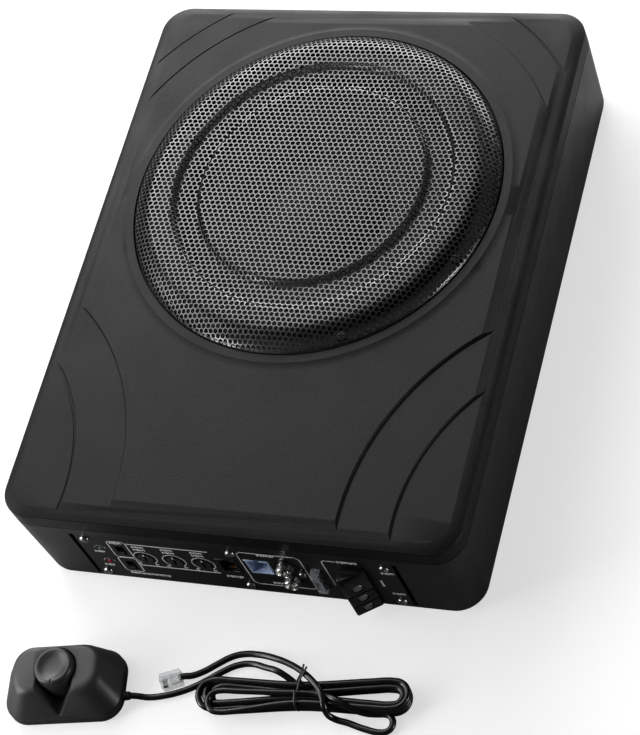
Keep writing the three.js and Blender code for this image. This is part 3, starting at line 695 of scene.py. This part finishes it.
def make_plug():
    """A clear modular plug: body, wedge latch, cable window and contact blades."""
    body = block("modular_plug_body", -5.5, 5.5, -3.85, 3.85, 0.3, 6.6)
    join(body, block("latch_root", -5.4, -3.4, -1.4, 1.4, 6.3, 7.9))
    cut(body, block("cable_way", -0.6, 8, -2.1, 2.1, 1.5, 5.4))
    rows = (-1.9, -0.65, 0.65, 1.9)
    slots = [block("slot", -8, -2.8, y - 0.3, y + 0.3, -1, 3.9) for y in rows]
    cut(body, *slots)
    latch = block("latch", -5.2, 2.6, -1.2, 1.2, 7.3, 8.0)
    latch.data.transform(turned(-4, "Y"))
    body = merge("modular_plug_body", [body, latch])
    round_edges(body, 0.25, 1)
    turn_and_move(body, PLUG_PLACE, PLUG_TURN)
    finish_piece(body, "clear", ["modular_plug"])
    blades = [block("blade", -5.3, -3.0, y - 0.16, y + 0.16, 0.9, 3.7) for y in rows]
    contacts = merge("modular_plug_contacts", blades)
    turn_and_move(contacts, PLUG_PLACE, PLUG_TURN)
    finish_piece(contacts, "zinc")
    return body, contacts


def make_gland():
    """The ribbed strain relief where the cord leaves the remote."""
    profile = [(0, 0)]
    for rib in range(5):
        z = rib * 1.55
        wide = 2.75 - 0.12 * rib
        profile += [(wide, z), (wide, z + 0.95), (wide - 0.45, z + 1.1), (wide - 0.45, z + 1.45)]
    profile += [(1.85, 7.8), (0, 7.8)]
    gland = lathe("remote_strain_relief", profile, 24, 0, 0)
    gland.data.transform(shifted(28.0, GLAND_Y, 4) @ turned(90, "Y"))
    turn_and_move(gland, REMOTE_PLACE, REMOTE_TURN)
    smooth(gland)
    return finish_piece(gland, "rubber", ["remote_gland"])


# ---- enclosure

SIDES = 192
STEP_RADII = ((MIDDLE_Z, 129.6), (CORNER_Z, 145.4))
NEAR_RADII = ((MIDDLE_Z, 138), (CORNER_Z, 110))
NEAR_CENTRE = (199.5, -148.5)
COVER_SCREWS = [(x, y) for x in (-111, 111) for y in (-151, 151)]


def inset(z, distance):
    """The enclosure's outline at the height z, moved inwards."""
    return (z, HALF_WIDTH - distance, HALF_LENGTH - distance, CORNER_RADIUS - distance)


def rim(name, distance, z0, z1):
    return stack(name, [inset(z0, distance), inset(z1, distance)])


def arc_groove(name, x, y, inner, outer, z):
    """A fine ring groove, cut down from above to the height z."""
    core = post("core", x, y, z - 1, z + 8, inner, inner, SIDES)
    return cut(post(name, x, y, z, z + 7, outer, outer, SIDES), core)


def make_cover():
    cover = stack(
        "cover",
        [
            inset(COVER_BOTTOM, 0),
            inset(EDGE_Z - 0.9, 0),
            inset(EDGE_Z - 0.25, 0.3),
            (EDGE_Z + 0.1, HALF_WIDTH - 1.1, HALF_LENGTH - 1.0, CORNER_RADIUS - 1),
            (PLATEAU_Z, HALF_WIDTH - 14, HALF_LENGTH - 12.6, 9),
        ],
    )
    for z, radius in STEP_RADII:
        step = block("far_step", -140, 140, SPEAKER_Y, 180, z, 75)
        cut(step, post("far_arc", 0, SPEAKER_Y, z - 1, 76, radius + 0.8, radius - 5.4, SIDES))
        cut(cover, step)
        groove = arc_groove("far_groove", 0, SPEAKER_Y, radius + 0.1, radius + 1.2, z - 0.5)
        combine(groove, "INTERSECT", block("far_half", -140, 140, SPEAKER_Y, 180, 60, 80))
        cut(cover, groove)
    for side in (-1, 1):
        for z, radius in NEAR_RADII:
            x, y = side * NEAR_CENTRE[0], NEAR_CENTRE[1]
            cut(cover, post("near_step", x, y, z, z + 4, radius, radius + 3.2, SIDES))
            cut(cover, arc_groove("near_groove", x, y, radius - 1.2, radius - 0.1, z - 0.5))
    foot_z = RING_Z - 4.6
    ring = post("ring", 0, SPEAKER_Y, foot_z, RING_Z, 107.5 + 2.5 * 4.6, 107.5, SIDES)
    combine(ring, "INTERSECT", block("ring_limit", -124, 124, -160, 160, 60, 80))
    join(cover, ring)
    cavity = stack(
        "cavity",
        [
            (COVER_BOTTOM - 1, HALF_WIDTH - 4, HALF_LENGTH - 4, 12),
            (CEILING_Z - 3, HALF_WIDTH - 4, HALF_LENGTH - 4, 12),
            (CEILING_Z, HALF_WIDTH - 7, HALF_LENGTH - 7, 9),
        ],
    )
    groove = cut(rim("groove", 1.4, COVER_BOTTOM - 1, COVER_BOTTOM + 1.4), rim("inner", 3, 50, 60))
    cut(cover, cavity, groove)
    cut(cover, post("speaker_hole", 0, SPEAKER_Y, 60, 80, 97.3, 97.3, SIDES))
    cut(cover, post("grille_hole", 0, SPEAKER_Y, 67.3, 80, 103, 103, SIDES))
    posts = []
    for x, y in COVER_SCREWS:
        boss = post("boss", x, y, 3.8, CEILING_Z + 1, 4, 5, 24)
        posts.append(cut(boss, post("thread", x, y, 3, 20, 1.9, 1.9, 24)))
    join(cover, *posts)
    round_edges(cover, 0.45, 2, 14)
    return finish_piece(cover, "cover_paint", ["top_cover"])


FEET = [(x, y) for x in (-92, 92) for y in (-132, 132)]
PANEL_SCREWS = [(x, z) for x in (-82.5, -0.5, 82.5) for z in (45.5, 10)]


def make_base():
    def layer(z, edge):
        """The draft makes the base 2 mm and 0.6 mm smaller on each side at the bottom."""
        share = 1 - (z - BASE_BOTTOM) / (BASE_TOP - BASE_BOTTOM)
        _, half_x, half_y, radius = inset(z, edge)
        return (z, half_x - 2 * share, half_y - 0.6 * share, radius)

    edges = ((BASE_BOTTOM, 3), (2, 1.1), (3, 0.3), (4.5, 0), (BASE_TOP, 0))
    base = stack("base", [layer(z, edge) for z, edge in edges])
    levels = [(3.5, 118.5, 159, 10, 1), (6.5, 119.2, 160, 12, 1), (BASE_TOP + 1, 121, 160, 12, 1)]
    inside = stack("inside", levels)
    groove = cut(rim("groove", 1.4, BASE_TOP - 1.4, BASE_TOP + 1), rim("inner", 3, 50, 60))
    recess = block("recess", -90, 90, -180, PANEL_BACK + 0.3, 5.7, 50.7)
    window = panel_block("window", 0, 28.4, 79.6, 15.2, -170, -150)
    cut(base, inside, groove, recess, window)
    cut(base, *[post("foot_seat", x, y, 0, 2, 8.3) for x, y in FEET])
    cut(base, *[post("screw_seat", x, y, 0, 2.6, 4.2) for x, y in COVER_SCREWS])
    cut(base, *[post("screw_hole", x, y, 0, 6, 2.2) for x, y in COVER_SCREWS])
    join(base, block("fixing_pad", -60, 60, -95, 95, 0, 2))
    round_edges(base, 0.35, 2, 25)
    return finish_piece(base, "base_paint", ["base_shell"])


def make_feet():
    profile = [(0, 1.7), (8, 1.7), (8, 0.6), (7.8, 0.2), (7.3, 0), (5.2, 0)]
    profile += [(4.9, 0.35), (2.2, 0.35), (0, 0.35)]
    for i, (x, y) in enumerate(FEET):
        foot = smooth(lathe(f"rubber_foot_{i + 1}", profile, 48, x, y))
        finish_piece(foot, "rubber", [f"foot_{i + 1}"])
    profile = [(0, 2.3), (3.4, 2.3), (3.8, 1.7), (3.8, 1.3), (3.5, 1.1), (0, 1.1)]
    for i, (x, y) in enumerate(COVER_SCREWS):
        screw = lathe(f"case_screw_{i + 1}", profile, 32, x, y)
        cut(screw, post("hex", x, y, 0, 2.0, 1.6, 1.6, 6))
        join(screw, post("shank", x, y, 2.0, 18, 1.5, 1.5, 16))
        finish_piece(smooth(screw), "black_metal", [f"cover_screw_{i + 1}"])


# ---- grille

GRILLE_LINE = [
    (102.2, 67.7), (102.2, 70.8), (100.8, 73.6), (95.4, 77.3), (91.8, 78.7), (88.6, 79),
    (82, 79), (79.2, 79), (78.2, 78.9), (76.8, 76.3), (75.8, 76.2), (73, 76.2),
    (68, 76.2), (65.2, 76.2), (64.2, 76.3), (62.8, 78.9), (61.8, 79), (59, 79), (0, 79),
]
HOLE_PITCH = 3.1
HOLE_SHARE = 0.82


def arc_table(line):
    """The line from its middle outwards, with the distance along it."""
    inward = line[::-1]
    table = [(0.0, *inward[0])]
    for (r0, z0), (r1, z1) in zip(inward, inward[1:]):
        table.append((table[-1][0] + math.hypot(r1 - r0, z1 - z0), r1, z1))
    return table


def along(table, distance):
    for (s0, r0, z0), (s1, r1, z1) in zip(table, table[1:]):
        if distance <= s1:
            share = (distance - s0) / (s1 - s0)
            return r0 + (r1 - r0) * share, z0 + (z1 - z0) * share
    return table[-1][1], table[-1][2]


def make_grille():
    """A flat honeycomb sheet wrapped onto the grille's profile by distance from its middle."""
    table = arc_table(rounded_line(GRILLE_LINE, 2))
    sheet_radius = table[-1][0]
    inner = HOLE_PITCH * HOLE_SHARE / math.sqrt(3)
    outer = HOLE_PITCH / math.sqrt(3)
    row_step = HOLE_PITCH * math.sqrt(3) / 2
    rows = int(sheet_radius / row_step) + 1
    columns = int(sheet_radius / HOLE_PITCH) + 1
    points, faces, shared = [], [], {}
    angles = [math.radians(30 + 60 * k) for k in range(6)]
    ring = [(math.cos(a), math.sin(a)) for a in angles]

    def put(x, y):
        flat = math.hypot(x, y)
        radius, height = along(table, min(flat, sheet_radius - 0.2))
        scale = radius / flat if flat > 1e-6 else 1.0
        points.append((x * scale, SPEAKER_Y + y * scale, height))
        return len(points) - 1

    def put_shared(x, y):
        key = (round(x * 20), round(y * 20))
        if key not in shared:
            shared[key] = put(x, y)
        return shared[key]

    for row in range(-rows, rows + 1):
        for column in range(-columns, columns + 1):
            x = (column + 0.5 * (row % 2)) * HOLE_PITCH
            y = row * row_step
            if math.hypot(x, y) > sheet_radius - 1.5:
                continue
            low = [put(x + inner * c, y + inner * s) for c, s in ring]
            high = [put_shared(x + outer * c, y + outer * s) for c, s in ring]
            for k in range(6):
                faces.append((low[k], high[k], high[(k + 1) % 6], low[(k + 1) % 6]))
    web = object_from("grille_web", points, faces)
    if web.data.polygons[0].normal.z < 0:
        web.data.flip_normals()
    thick = web.modifiers.new("thick", "SOLIDIFY")
    thick.thickness = 0.9 * MM
    thick.offset = -1
    bake_modifiers(web)
    edge = rounded_line([(102.25, 67.7), (102.25, 70.4), (101.2, 71.8)], 2)
    rim_band = lathe("rim_band", sheet_profile(edge, 1.1), SIDES, closed=True)
    grille = merge("grille_mesh", [web, rim_band])
    smooth(grille, 50)
    return finish_piece(grille, "black_metal", ["grille"])


# ---- driver

RING_SECTORS = 16
SCREW_CIRCLE = 93


def ring_point(radius, angle, height=0):
    """A point on a circle round the speaker's axis."""
    return (radius * math.cos(angle), SPEAKER_Y + radius * math.sin(angle), height)


def roll_line():
    line = [(96.5, 65.3), (88.4, 65.3)]
    for step in range(1, 12):
        angle = step / 12 * math.pi
        line.append((80.3 + 8.1 * math.cos(angle), 65.3 + 6.4 * math.sin(angle)))
    return line + [(72.2, 65.3), (68, 65.3)]


def spider_line():
    line = [(58, 37.2), (50, 37.2)]
    for step in range(1, 31):
        radius = 50 - step * 29 / 31
        line.append((radius, 37.5 + 1.1 * math.sin(step / 31 * 10 * math.pi)))
    return line + [(20.6, 37.4)]


def flexing_ring(name, profile, look):
    """A ring from the frame to the cone, in place of the CAD node of its name.

    It is made in sectors, each a piece of its own.
    """
    steps = 6
    for sector in range(RING_SECTORS):
        points = []
        for i in range(steps + 1):
            angle = 2 * math.pi * (sector + i / steps) / RING_SECTORS
            points += [ring_point(radius, angle, height) for radius, height in profile]
        count = len(profile)
        faces = tube_faces(count, steps + 1)
        piece = smooth(object_from(f"{name}_{sector + 1}", points, faces), 60)
        finish_piece(piece, look, [name], body=None)
        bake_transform(piece)


def make_driver():
    roll = sheet_profile(roll_line(), 0.8)
    flexing_ring("surround", roll, "rubber")
    waves = sheet_profile(spider_line(), 0.6)
    flexing_ring("spider", waves, "spider_cloth")
    cone_line = [(72.2, 64.2), (68.6, 64.2), (66, 63.4), (46, 55.6), (21.5, 43.5)]
    cone = smooth(lathe("cone_body", sheet_profile(cone_line, 1), 96, closed=True))
    finish_piece(cone, "cone_paper", ["cone"], "cone_assembly")
    cap_line = rounded_line([(34, 50.6), (27, 54.8), (18, 58.2), (9, 60), (0, 60.6)], 2)
    cap = smooth(lathe("dust_cap_dome", sheet_profile(cap_line, 0.8), 64))
    finish_piece(cap, "cone_paper", ["dust_cap"], "cone_assembly")
    profile = [(0, 65.5), (2.9, 65.5), (2.5, 66.6), (0, 67)]
    for i in range(8):
        x, y, _ = ring_point(SCREW_CIRCLE, 2 * math.pi * (i + 0.5) / 8)
        screw = lathe(f"driver_screw_{i + 1}", profile, 24, x, y)
        cut(screw, block("slot", x - 2, x + 2, y - 0.35, y + 0.35, 66.3, 68))
        finish_piece(smooth(screw), "black_plastic")


# ---- control panel


def make_panel():
    panel = block("panel_plate", -87.5, 87.5, PANEL_FACE, PANEL_BACK, 6, 50.4)
    through = (PANEL_FACE - 5, PANEL_BACK + 5)
    holes = [rod("hole", x, z, *through, 1.7, 24) for x, z in PANEL_SCREWS]
    holes += [rod("hole", x, KNOB_Z, *through, 5.1, 48) for x in KNOB_XS.values()]
    holes += [panel_block("hole", SWITCH_X, z, 2.4, 4.6, *through) for z in SWITCH_ZS.values()]
    holes += [rod("hole", LAMP_X, z, *through, 1.8, 24) for z in LAMP_ZS.values()]
    holes += [panel_block("hole", *JACK, 6.3, 7.8, *through)]
    holes += [panel_block("hole", *INPUT, 6.8, 7.3, *through)]
    holes += [rod("hole", PHONO_X, z, *through, 5.4, 48) for z in PHONO_ZS]
    holes += [rod("hole", *PHONO_SCREW, *through, 1.7, 24)]
    holes += [panel_block("hole", *FUSE, 3.4, 10.4, *through)]
    holes += [panel_block("hole", *POWER, 5, 13.9, *through)]
    for hole in holes:
        cut(panel, hole)
    round_edges(panel, 0.2, 1, 40)
    return finish_piece(panel, "black_plastic", ["control_panel"])


LINE_WIDTH = 0.55
PRINT_DEPTH = 0.07


def stroke(points, width=LINE_WIDTH):
    """A printed line on the panel through (x, z) points, as a flat strip of ink."""
    y0, y1 = PANEL_FACE - PRINT_DEPTH, PANEL_FACE + 0.01
    strips = []
    for (x0, z0), (x1, z1) in zip(points, points[1:]):
        half = width / 2 / math.hypot(x1 - x0, z1 - z0)
        ex, ez = (x1 - x0) * half, (z1 - z0) * half
        corners = [
            (x0 - ex - ez, z0 - ez + ex), (x1 + ex - ez, z1 + ez + ex),
            (x1 + ex + ez, z1 + ez - ex), (x0 - ex + ez, z0 - ez - ex),
        ]
        verts = [(x, y0, z) for x, z in corners] + [(x, y1, z) for x, z in corners]
        strips.append(object_from("ink", verts, tube_faces(4, 2)))
    return strips


def frame_lines(x0, x1, z0, z1, corner=1.5):
    points = [
        (x0 + corner, z0), (x1 - corner, z0), (x1, z0 + corner), (x1, z1 - corner),
        (x1 - corner, z1), (x0 + corner, z1), (x0, z1 - corner), (x0, z0 + corner), (x0 + corner, z0),
    ]
    return stroke(points)


def arc_line(x, z, radius, start, end, steps=14):
    angles = [math.radians(start + (end - start) * i / steps) for i in range(steps + 1)]
    return stroke([(x + radius * math.cos(a), z + radius * math.sin(a)) for a in angles])


def word_mark(x0, x1, z, height):
    """A row of short plain bars where the real panel has small lettering."""
    marks = []
    x, i = x0, 0
    widths = (0.9, 0.5, 1.1, 0.7)
    while x + widths[i % 4] <= x1 + 0.2:
        wide = widths[i % 4]
        lower = z + (0.25 * height if i % 3 == 1 else 0)
        middle = x + wide / 2
        marks += stroke([(middle, lower + wide / 2), (middle, z + height - wide / 2 + 0.2)], wide)
        x += wide + 0.42
        i += 1
    return marks


# Where the real panel has lettering: left end, right end, foot and height of each row of bars.
WORDS = [
    (-69, -61.5, 43, 1.7), (-69, -46, 9.6, 1.7), (-81.5, -75.5, 31.6, 1.7), (-81.5, -75.5, 16.6, 1.7),
    (-11.2, -1.2, 17.4, 2.0), (14.4, 24.6, 45.6, 2.0), (14, 20.5, 15.0, 1.6), (4.6, 7.6, 38.5, 1.6),
    (58, 69, 47, 2.0), (79.5, 86, 39.5, 1.6), (79.5, 86, 17.2, 1.6),
]
KNOB_WORDS = [
    (-3.8, 3.8, 40.6, 1.7), (-3.8, 3.8, 37.6, 1.7), (-6.2, -3.4, 22.2, 1.5), (3.6, 6.4, 22.2, 1.5),
]


def make_legends():
    ink = frame_lines(-70.5, -60, 28.6, 45.6)
    ink += frame_lines(-70.5, -60, 12.6, 28)
    ink += frame_lines(3, 37.5, 13.2, 48, 2.2)
    ink += stroke([(-59, 44.3), (-14, 44.3)], 0.8)
    ink += stroke([(-59, 21), (-14, 21)], 0.8)
    ink += stroke([(49.5, 21), (49.5, 46.4), (51, 48), (57, 48)])
    ink += stroke([(77, 26), (77, 31.5)], 1.2)
    for z in LAMP_ZS.values():
        ink += arc_line(LAMP_X, z, 3.2, 20, 160)
    for word in WORDS:
        ink += word_mark(*word)
    for x in KNOB_XS.values():
        ink += arc_line(x, KNOB_Z, 6.4, -52, 232)
        for left, right, z, height in KNOB_WORDS:
            ink += word_mark(x + left, x + right, z, height)
    return finish_piece(merge("panel_print", ink), "legend")


def cross_screw(name, x, z, seat, radius, rise):
    """A pan head screw along Y with a cross recess."""
    profile = [
        (0, seat - rise), (radius * 0.45, seat - rise), (radius * 0.8, seat - rise * 0.82),
        (radius, seat - rise * 0.35), (radius, seat - 0.05),
        (1.2, seat - 0.05), (1.2, seat + 4), (0, seat + 4),
    ]
    screw = turned_out(name, x, z, profile, 32)
    arm = radius * 0.58
    cut(
        screw,
        panel_block("arm", x, z, arm, 0.32, seat - rise - 1, seat - rise * 0.25),
        panel_block("arm", x, z, 0.32, arm, seat - rise - 1, seat - rise * 0.25),
    )
    return smooth(screw, 40)


def make_panel_parts():
    for i, (x, z) in enumerate(PANEL_SCREWS):
        screw = cross_screw(f"panel_fixing_{i + 1}", x, z, PANEL_FACE, 2.6, 1.45)
        finish_piece(screw, "zinc", [f"panel_screw_{i + 1}"])
    screw = cross_screw("phono_fixing", *PHONO_SCREW, PANEL_FACE, 2.1, 1.4)
    finish_piece(screw, "zinc", ["phono_screw"])
    for name, x in KNOB_XS.items():
        make_knob(name, x)
    for i, z in enumerate(PHONO_ZS):
        profile = [
            (3.3, -159.5), (3.3, -169.5), (3.5, -170), (4.0, -170), (4.15, -169.8), (4.15, -168.4),
            (3.95, -168.2), (3.95, -166.6), (4.15, -166.4), (4.15, -157.4), (1.6, -157.4), (1.6, -159.5),
        ]
        jack = turned_out(f"phono_barrel_{i + 1}", PHONO_X, z, profile + [profile[0]], 48)
        finish_piece(smooth(jack, 40), "zinc", [f"phono_jack_{i + 1}"])
    make_lamps()
    make_power_block()
    make_fuse()
    make_sockets()


def make_knob(name, x):
    """A flush knob with a ribbed skirt, a driver slot and a white pointer."""
    front, back = PANEL_FACE - 0.3, -160.5
    cap = rod(f"{name}_cap", x, KNOB_Z, front, back, 4.5, 64)
    notches = []
    for i in range(18):
        angle = 2 * math.pi * i / 18
        nx, nz = x + 4.62 * math.cos(angle), KNOB_Z + 4.62 * math.sin(angle)
        notches.append(rod("notch", nx, nz, front - 1, back + 1, 0.42, 8))
    for notch in notches:
        cut(cap, notch)
    cut(cap, panel_block("slot", x, KNOB_Z, 0.6, 3.4, front - 1, PANEL_FACE + 1.1))
    round_edges(cap, 0.18, 1, 40)
    finish_piece(cap, "gloss_plastic", [name], name)
    pointer = panel_block(f"{name}_pointer", x, KNOB_Z + 3.2, 0.32, 0.9, front - 0.06, front + 0.1)
    finish_piece(pointer, "legend", (), name)
    shaft = rod(f"{name}_shaft", x, KNOB_Z, -160.4, -154, 1.5, 24)
    finish_piece(smooth(shaft), "zinc", (), name)


def make_lamps():
    tip = PANEL_FACE - 0.6
    for (name, z), look in zip(LAMP_ZS.items(), ("green_lamp", "red_lamp")):
        profile = [
            (0, tip), (0.7, tip + 0.12), (1.2, tip + 0.45), (1.5, tip + 1.0), (1.5, -162.1),
            (2, -162.1), (2, -161), (1.5, -161), (1.5, -158), (0, -158),
        ]
        lens = smooth(turned_out(f"{name}_lens", LAMP_X, z, profile, 32), 50)
        finish_piece(lens, look, [name])


FACE_LEFT = (60.2, -173.7)
FACE_RIGHT = (71.4, -166.2)
CLAMP_X = 65.6


def make_power_block():
    slope = (FACE_RIGHT[1] - FACE_LEFT[1]) / (FACE_RIGHT[0] - FACE_LEFT[0])
    clamp_y = FACE_LEFT[1] + (CLAMP_X - FACE_LEFT[0]) * slope
    root = PANEL_FACE - 0.3
    outline = [(58.6, root), (58.6, -172.6), (59.2, -173.5), FACE_LEFT, FACE_RIGHT, (71.4, root)]
    points = [(x, y, z) for z in (6.2, 44) for x, y in outline]
    nose = object_from("terminal_block", points, tube_faces(len(outline), 2))
    join(nose, panel_block("tail", *POWER, 4.6, 13.5, -165.5, -150))

    def onto_face(piece, x, y, z):
        piece.data.transform(shifted(x, y, z) @ turned(math.degrees(math.atan(slope)), "Z"))
        return piece

    for z in CLAMP_ZS:
        cut(nose, onto_face(rod("pocket", 0, 0, -2.5, 2.5, 3, 40), CLAMP_X, clamp_y, z))
    for z in (15, 25):
        rib = block("rib", -7, 7, -0.4, 0.9, -0.5, 0.5)
        cut(nose, onto_face(rib, CLAMP_X, clamp_y - 0.2, z))
    round_edges(nose, 0.35, 2, 30)
    finish_piece(nose, "gloss_plastic", ["power_block"])
    for i, z in enumerate(CLAMP_ZS):
        profile = [(0, -0.8), (2.2, -0.8), (2.6, -0.45), (2.6, 0.8), (0, 0.8)]
        screw = turned_out(f"clamp_head_{i + 1}", 0, 0, profile, 32)
        cut(screw, block("slot", -3, 3, -1.6, -0.3, -0.4, 0.4))
        onto_face(screw, CLAMP_X - 0.6, clamp_y + 0.9, z)
        finish_piece(smooth(screw, 40), "zinc", [f"clamp_screw_{i + 1}"])


def make_fuse():
    x, z = FUSE
    front = PANEL_FACE - 3.9
    grip = panel_block("fuse_grip", x, z, 2.5, 9.5, PANEL_FACE - 4.4, -160)
    cut(grip, panel_block("window", x, z, 1.5, 3.4, PANEL_FACE - 6, PANEL_FACE - 3.6))
    rises = (-8, -6.6, 6.6, 8)
    cut(grip, *[panel_block("rib", x, z + rise, 3, 0.3, PANEL_FACE - 4.6, front) for rise in rises])
    round_edges(grip, 0.3, 2, 40)
    finish_piece(grip, "clear", ["blade_fuse"], "blade_fuse")
    blades = [panel_block("blade", x, z + rise, 0.45, 2.6, -167, -151.5) for rise in (-6.6, 6.6)]
    wire = panel_block("wire", x, z, 0.3, 4.2, -165.4, -164.8)
    metal = merge("fuse_metal", blades + [wire])
    finish_piece(metal, "zinc", (), "blade_fuse")


def make_sockets():
    x, z = JACK
    jack = panel_block("modular_socket", x, z, 6, 7.5, PANEL_FACE - 0.3, -149)
    cut(jack, panel_block("mouth", x, z, 4.1, 5.2, -170, -151.5))
    cut(jack, panel_block("latch_way", x, z + 5.6, 2, 1.2, -170, -151.5))
    round_edges(jack, 0.3, 2, 40)
    finish_piece(jack, "gloss_plastic", ["remote_jack"])
    sides = [x + (i - 1.5) * 1.1 for i in range(4)]
    wires = [panel_block("wire", side, z - 4, 0.22, 0.22, -163.5, -152) for side in sides]
    contacts = merge("modular_socket_contacts", wires)
    finish_piece(contacts, "coil_foil")

    x, z = INPUT
    shell = panel_block("speaker_input_shell", x, z, 6.5, 7, PANEL_FACE - 0.3, -151)
    cut(shell, panel_block("mouth", x, z, 5.3, 5.8, -170, -153.5))
    cut(shell, panel_block("key", x, z + 6.6, 1.4, 0.9, -170, -158))
    round_edges(shell, 0.3, 2, 40)
    finish_piece(shell, "nylon", ["input_socket"])
    corners = [(x + dx, z + dz) for dx in (-2.4, 2.4) for dz in (-2.6, 2.6)]
    pins = [panel_block("pin", *corner, 0.6, 0.6, -159.4, -153) for corner in corners]
    finish_piece(merge("speaker_input_pins", pins), "zinc")


# ---- remote control


def make_remote():
    shell = stack(
        "remote_body",
        [
            (0.6, 31, 18.4, 11), (1.1, 31.7, 18.9, 11.6), (2, 32, 19, 12), (7.0, 31.9, 18.9, 12),
            (7.5, 31.6, 18.6, 12), (19.4, 24.7, 13.8, 10, 2.3), (21, 23.6, 13, 10, 2.6),
            (21.9, 22.6, 12.2, 9.4, 2.8), (22.3, 21.2, 11.2, 8.6, 3), (22.4, 19.6, 9.8, 7.4, 3),
        ],
        16,
    )
    inside = stack("inside", [(0, 29, 16, 10), (6, 28.6, 15.6, 10)])
    well = post("well", 0, REMOTE_KNOB_Y, 8, 30, 11.6, 11.6, 96)
    outline = ((-13, 26), (-1.4, 9.3), (0, 8.5), (1.4, 9.3), (13, 26))
    points = [(x, y, z) for y in (-22.5, REMOTE_KNOB_Y) for x, z in outline]
    notch = object_from("notch", points, tube_faces(5, 2))
    cut(shell, inside, well, notch)
    band = cut(
        stack("band", [(6.6, 33, 20, 12), (7.2, 33, 20, 12)], 16),
        stack("core", [(6, 31.5, 18.5, 12), (8, 31.5, 18.5, 12)], 16),
    )
    cut(shell, band)
    round_edges(shell, 0.35, 2, 35)
    turn_and_move(shell, REMOTE_PLACE, REMOTE_TURN)
    finish_piece(shell, "remote_plastic", ["remote_housing"])

    pad = stack("remote_base_pad", [(0, 27.6, 14.6, 9), (0.4, 28, 15, 9), (2, 28, 15, 9)], 16)
    turn_and_move(smooth(pad), REMOTE_PLACE, REMOTE_TURN)
    finish_piece(pad, "rubber", ["remote_floor"])

    profile = [
        (0, 2.6), (2, 2.6), (2, 8.4), (10.9, 8.4), (10.65, 23.4), (10.5, 24.6), (10.1, 25.5),
        (9.5, 26.0), (8.9, 26.2), (8.3, 26.15), (7.4, 25.7), (6.2, 25.05), (4.6, 24.65),
        (2.4, 24.45), (0, 24.4),
    ]
    knob = lathe("remote_dial", profile, 96, 0, REMOTE_KNOB_Y)
    cut(knob, block("pointer_way", -0.45, 0.45, REMOTE_KNOB_Y - 11.4, REMOTE_KNOB_Y - 7.6, 25.3, 27))
    smooth(knob, 40)
    turn_and_move(knob, REMOTE_PLACE, REMOTE_TURN)
    finish_piece(knob, "remote_plastic", ["remote_knob"], "remote_knob")


# ---- nodes that stay as the CAD made them

CAD_LOOKS = {
    "black_metal": ["basket"],
    "rubber": ["seam_gasket"],
    "coil_foil": ["coil_former"],
    "zinc": ["top_plate", "back_plate"],
    "ferrite": ["magnet"],
    "black_plastic": ["control_pots", "switch_bank", "phono_block", "fuse_holder"],
    "gloss_plastic": ["phase_switch", "turn_on_switch"],
    "circuit_board": ["amplifier_board"],
    "copper_wire": ["transformer"],
}


def dress_cad_nodes():
    for look, names in CAD_LOOKS.items():
        for name in names:
            node = NODES[name]
            node.data.materials.clear()
            node.data.materials.append(looks[look])
            smooth(node)


# ---- build

bpy.context.scene.view_settings.view_transform = "Standard"
looks = make_materials()
make_camera()
make_lights()
make_floor()
cord, cord_length = make_cord()
tie = make_tie()
plug, contacts = make_plug()
gland = make_gland()
make_cover()
make_base()
make_feet()
make_grille()
make_driver()
make_panel()
make_legends()
make_panel_parts()
make_remote()
dress_cad_nodes()
